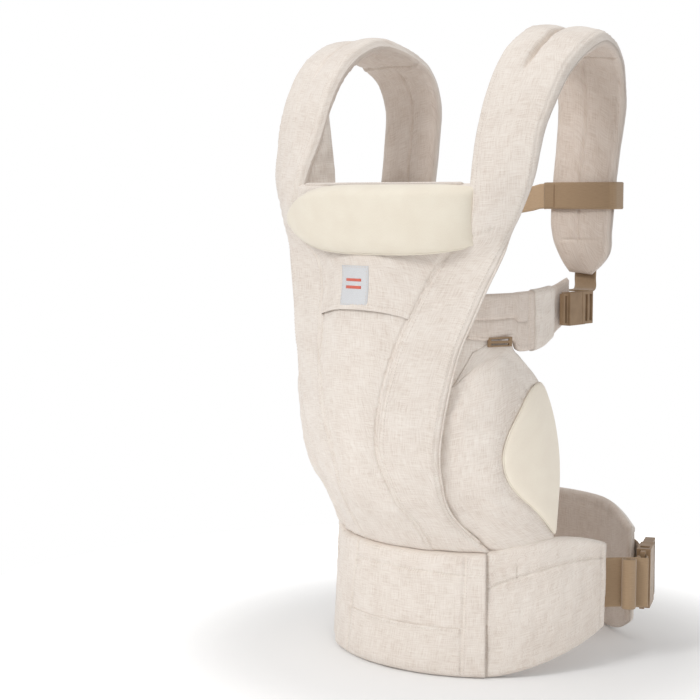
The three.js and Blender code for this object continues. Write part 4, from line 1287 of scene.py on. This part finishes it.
def build_chest_webbing(side, sign):
    """A loop of webbing round the shoulder strap, closed over itself, and its end to the buckle."""
    slack = 1.6
    back = STRAP_BACK_Y + slack + 0.8
    front = STRAP_BACK_Y - STRAP_DEPTH - slack - 0.8
    left = 73 - 0.3
    right = 148 + 1.4
    corner = 3.2
    points = [(14, front, -CHEST_SAG), (24, front, -CHEST_SAG), (40, front, -5.4), (58, front - 0.3, -2.6)]
    points += [(66, front - 1.6, -0.8)]
    points += [(76, front - 1.9, 0), (100, front - 1.4, 0), (125, front - 0.6, 0)]
    points += [(right - corner, front, 0), (right - 0.8, front + 1.4, 0), (right, front + corner, 0)]
    points += [(right, (front + back) / 2, 0), (right, back - corner, 0), (right - 0.8, back - 0.9, 0)]
    points += [(right - corner, back, 0), (125, back + 0.9, 0), (100, back + 0.9, 0)]
    points += [(left + corner + 4, back, 0)]
    points += [(left + 0.9, back - 0.7, 0), (left, back - corner, 0), (left, (front + back) / 2, 0)]
    points += [(left + 0.4, front + corner + 1.0, 0), (left + 2.2, front + 1.2, 0)]
    points += [(left + 8, front + 0.4, 0), (left + 16, front + 0.4, 0)]
    path = np.array([(x * sign, y, CHEST_Z + z) for x, y, z in points], float)
    run = run_along(path)
    even = np.linspace(0, run[-1], 240)
    web = read_line(even, run, path)
    across = np.array([0, 0, -sign * 1.0])
    # The loop takes the lighter webbing copy, painted light.
    piece = ribbon(f"chest_web_{side}", web, across, NARROW_WEB, "chest_strap",
                   material="chest_webbing", cols=15)
    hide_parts(f"chest_strap_{side}")
    # the end of the loop is sewn down over the webbing, with one row of stitches across it
    inward = np.cross(np.gradient(web, axis=0), across)
    inward /= np.linalg.norm(inward, axis=1, keepdims=True)
    doubled = (web[:, 0] * sign > OVERLAP_FROM) & (even < OVERLAP_TO * run[-1])
    over = (web - inward * OVERLAP_PROUD)[doubled]
    # The doubled layer takes the darker webbing copy, as painted shade where it turns away round the strap.
    layer = ribbon(f"chest_overlap_{side}", over, across, OVERLAP_WIDE, "chest_strap")
    length = float(run_along(over)[-1]) * MM
    tack = over[np.argmin(np.abs(over[:, 0] * sign - OVERLAP_STITCH))] - np.array([0, 0.85, 0])
    heights = np.linspace(-11.5, 11.5, 24)
    line = tube(f"chest_tack_{side}", tack + np.stack([0 * heights, 0 * heights, heights], axis=1), 0.45,
                "plastic", "chest_strap")


# ---- moulded pieces ----
def moulded(node, body, name, bevel, shift=(0, 0, 0)):
    """A copy of a moulded CAD node with its flat faces joined and its edges rounded."""
    source = bpy.data.objects[node]
    mesh = source.data.copy()
    mesh.name = name
    mesh.materials.clear()
    work = bmesh.new()
    work.from_mesh(mesh)
    bmesh.ops.translate(work, verts=work.verts, vec=[d * MM for d in shift])
    bmesh.ops.remove_doubles(work, verts=work.verts, dist=0.01 * MM)
    bmesh.ops.dissolve_limit(work, angle_limit=math.radians(1), verts=work.verts, edges=work.edges)
    sharp = [e for e in work.edges if len(e.link_faces) == 2 and e.calc_face_angle() > math.radians(30)]
    bmesh.ops.bevel(work, geom=sharp, offset=bevel * MM, segments=BEVEL_STEPS, profile=0.5,
                    affect="EDGES", clamp_overlap=True)
    bmesh.ops.triangulate(work, faces=work.faces, quad_method="BEAUTY", ngon_method="BEAUTY")
    work.to_mesh(mesh)
    work.free()
    obj = finish_mesh(name, mesh, "plastic", body)
    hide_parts(node)
    modifier = obj.modifiers.new("weighted", "WEIGHTED_NORMAL")
    modifier.keep_sharp = False
    return obj


def build_buckles():
    """The chest buckle lies lower than its webbing's loops, and the seat tabs pull the sliders up."""
    bevels = {"waist_buckle": 1.1, "chest_buckle": 0.8, "arm_buckle_right": 0.8, "arm_buckle_left": 0.8}
    for name, bevel in bevels.items():
        female_body = "chest_strap" if name == "chest_buckle" else "carrier"
        shift = (0, 0, -CHEST_SAG) if name == "chest_buckle" else (0, 0, 0)
        moulded(f"{name}_female", female_body, f"{name}_socket", bevel, shift=shift)
        moulded(f"{name}_male", f"{name}_male", f"{name}_plug", bevel * 0.8, shift=shift)
        for half in ("upper", "lower"):
            moulded(f"{name}_prong_{half}", f"{name}_prong_{half}", f"{name}_arm_{half}", 0.5, shift=shift)
    for side in ("right", "left"):
        moulded(f"seat_slider_{side}", f"seat_slider_{side}", f"seat_slide_{side}", 0.5, shift=(0, 0, 2.5))


# ---- all together ----
add_camera()
add_world()
add_lights()
add_floor()
build_body()
build_pocket_panel()
build_label()
for side_name, side_sign in (("right", 1), ("left", -1)):
    build_strap(side_name, side_sign)
    build_gusset(side_name, side_sign)
    build_seat_side(side_name, side_sign)
    build_side_web(side_name, side_sign)
    build_arm_strap(side_name, side_sign)
    build_chest_webbing(side_name, side_sign)
build_belt()
build_belt_front()
build_belt_pocket()
build_lumbar_pad()
build_head_support()
build_waist_webbing()
build_buckles()
for group in list(stitch_rows):
    stitch_mesh(group, "carrier")
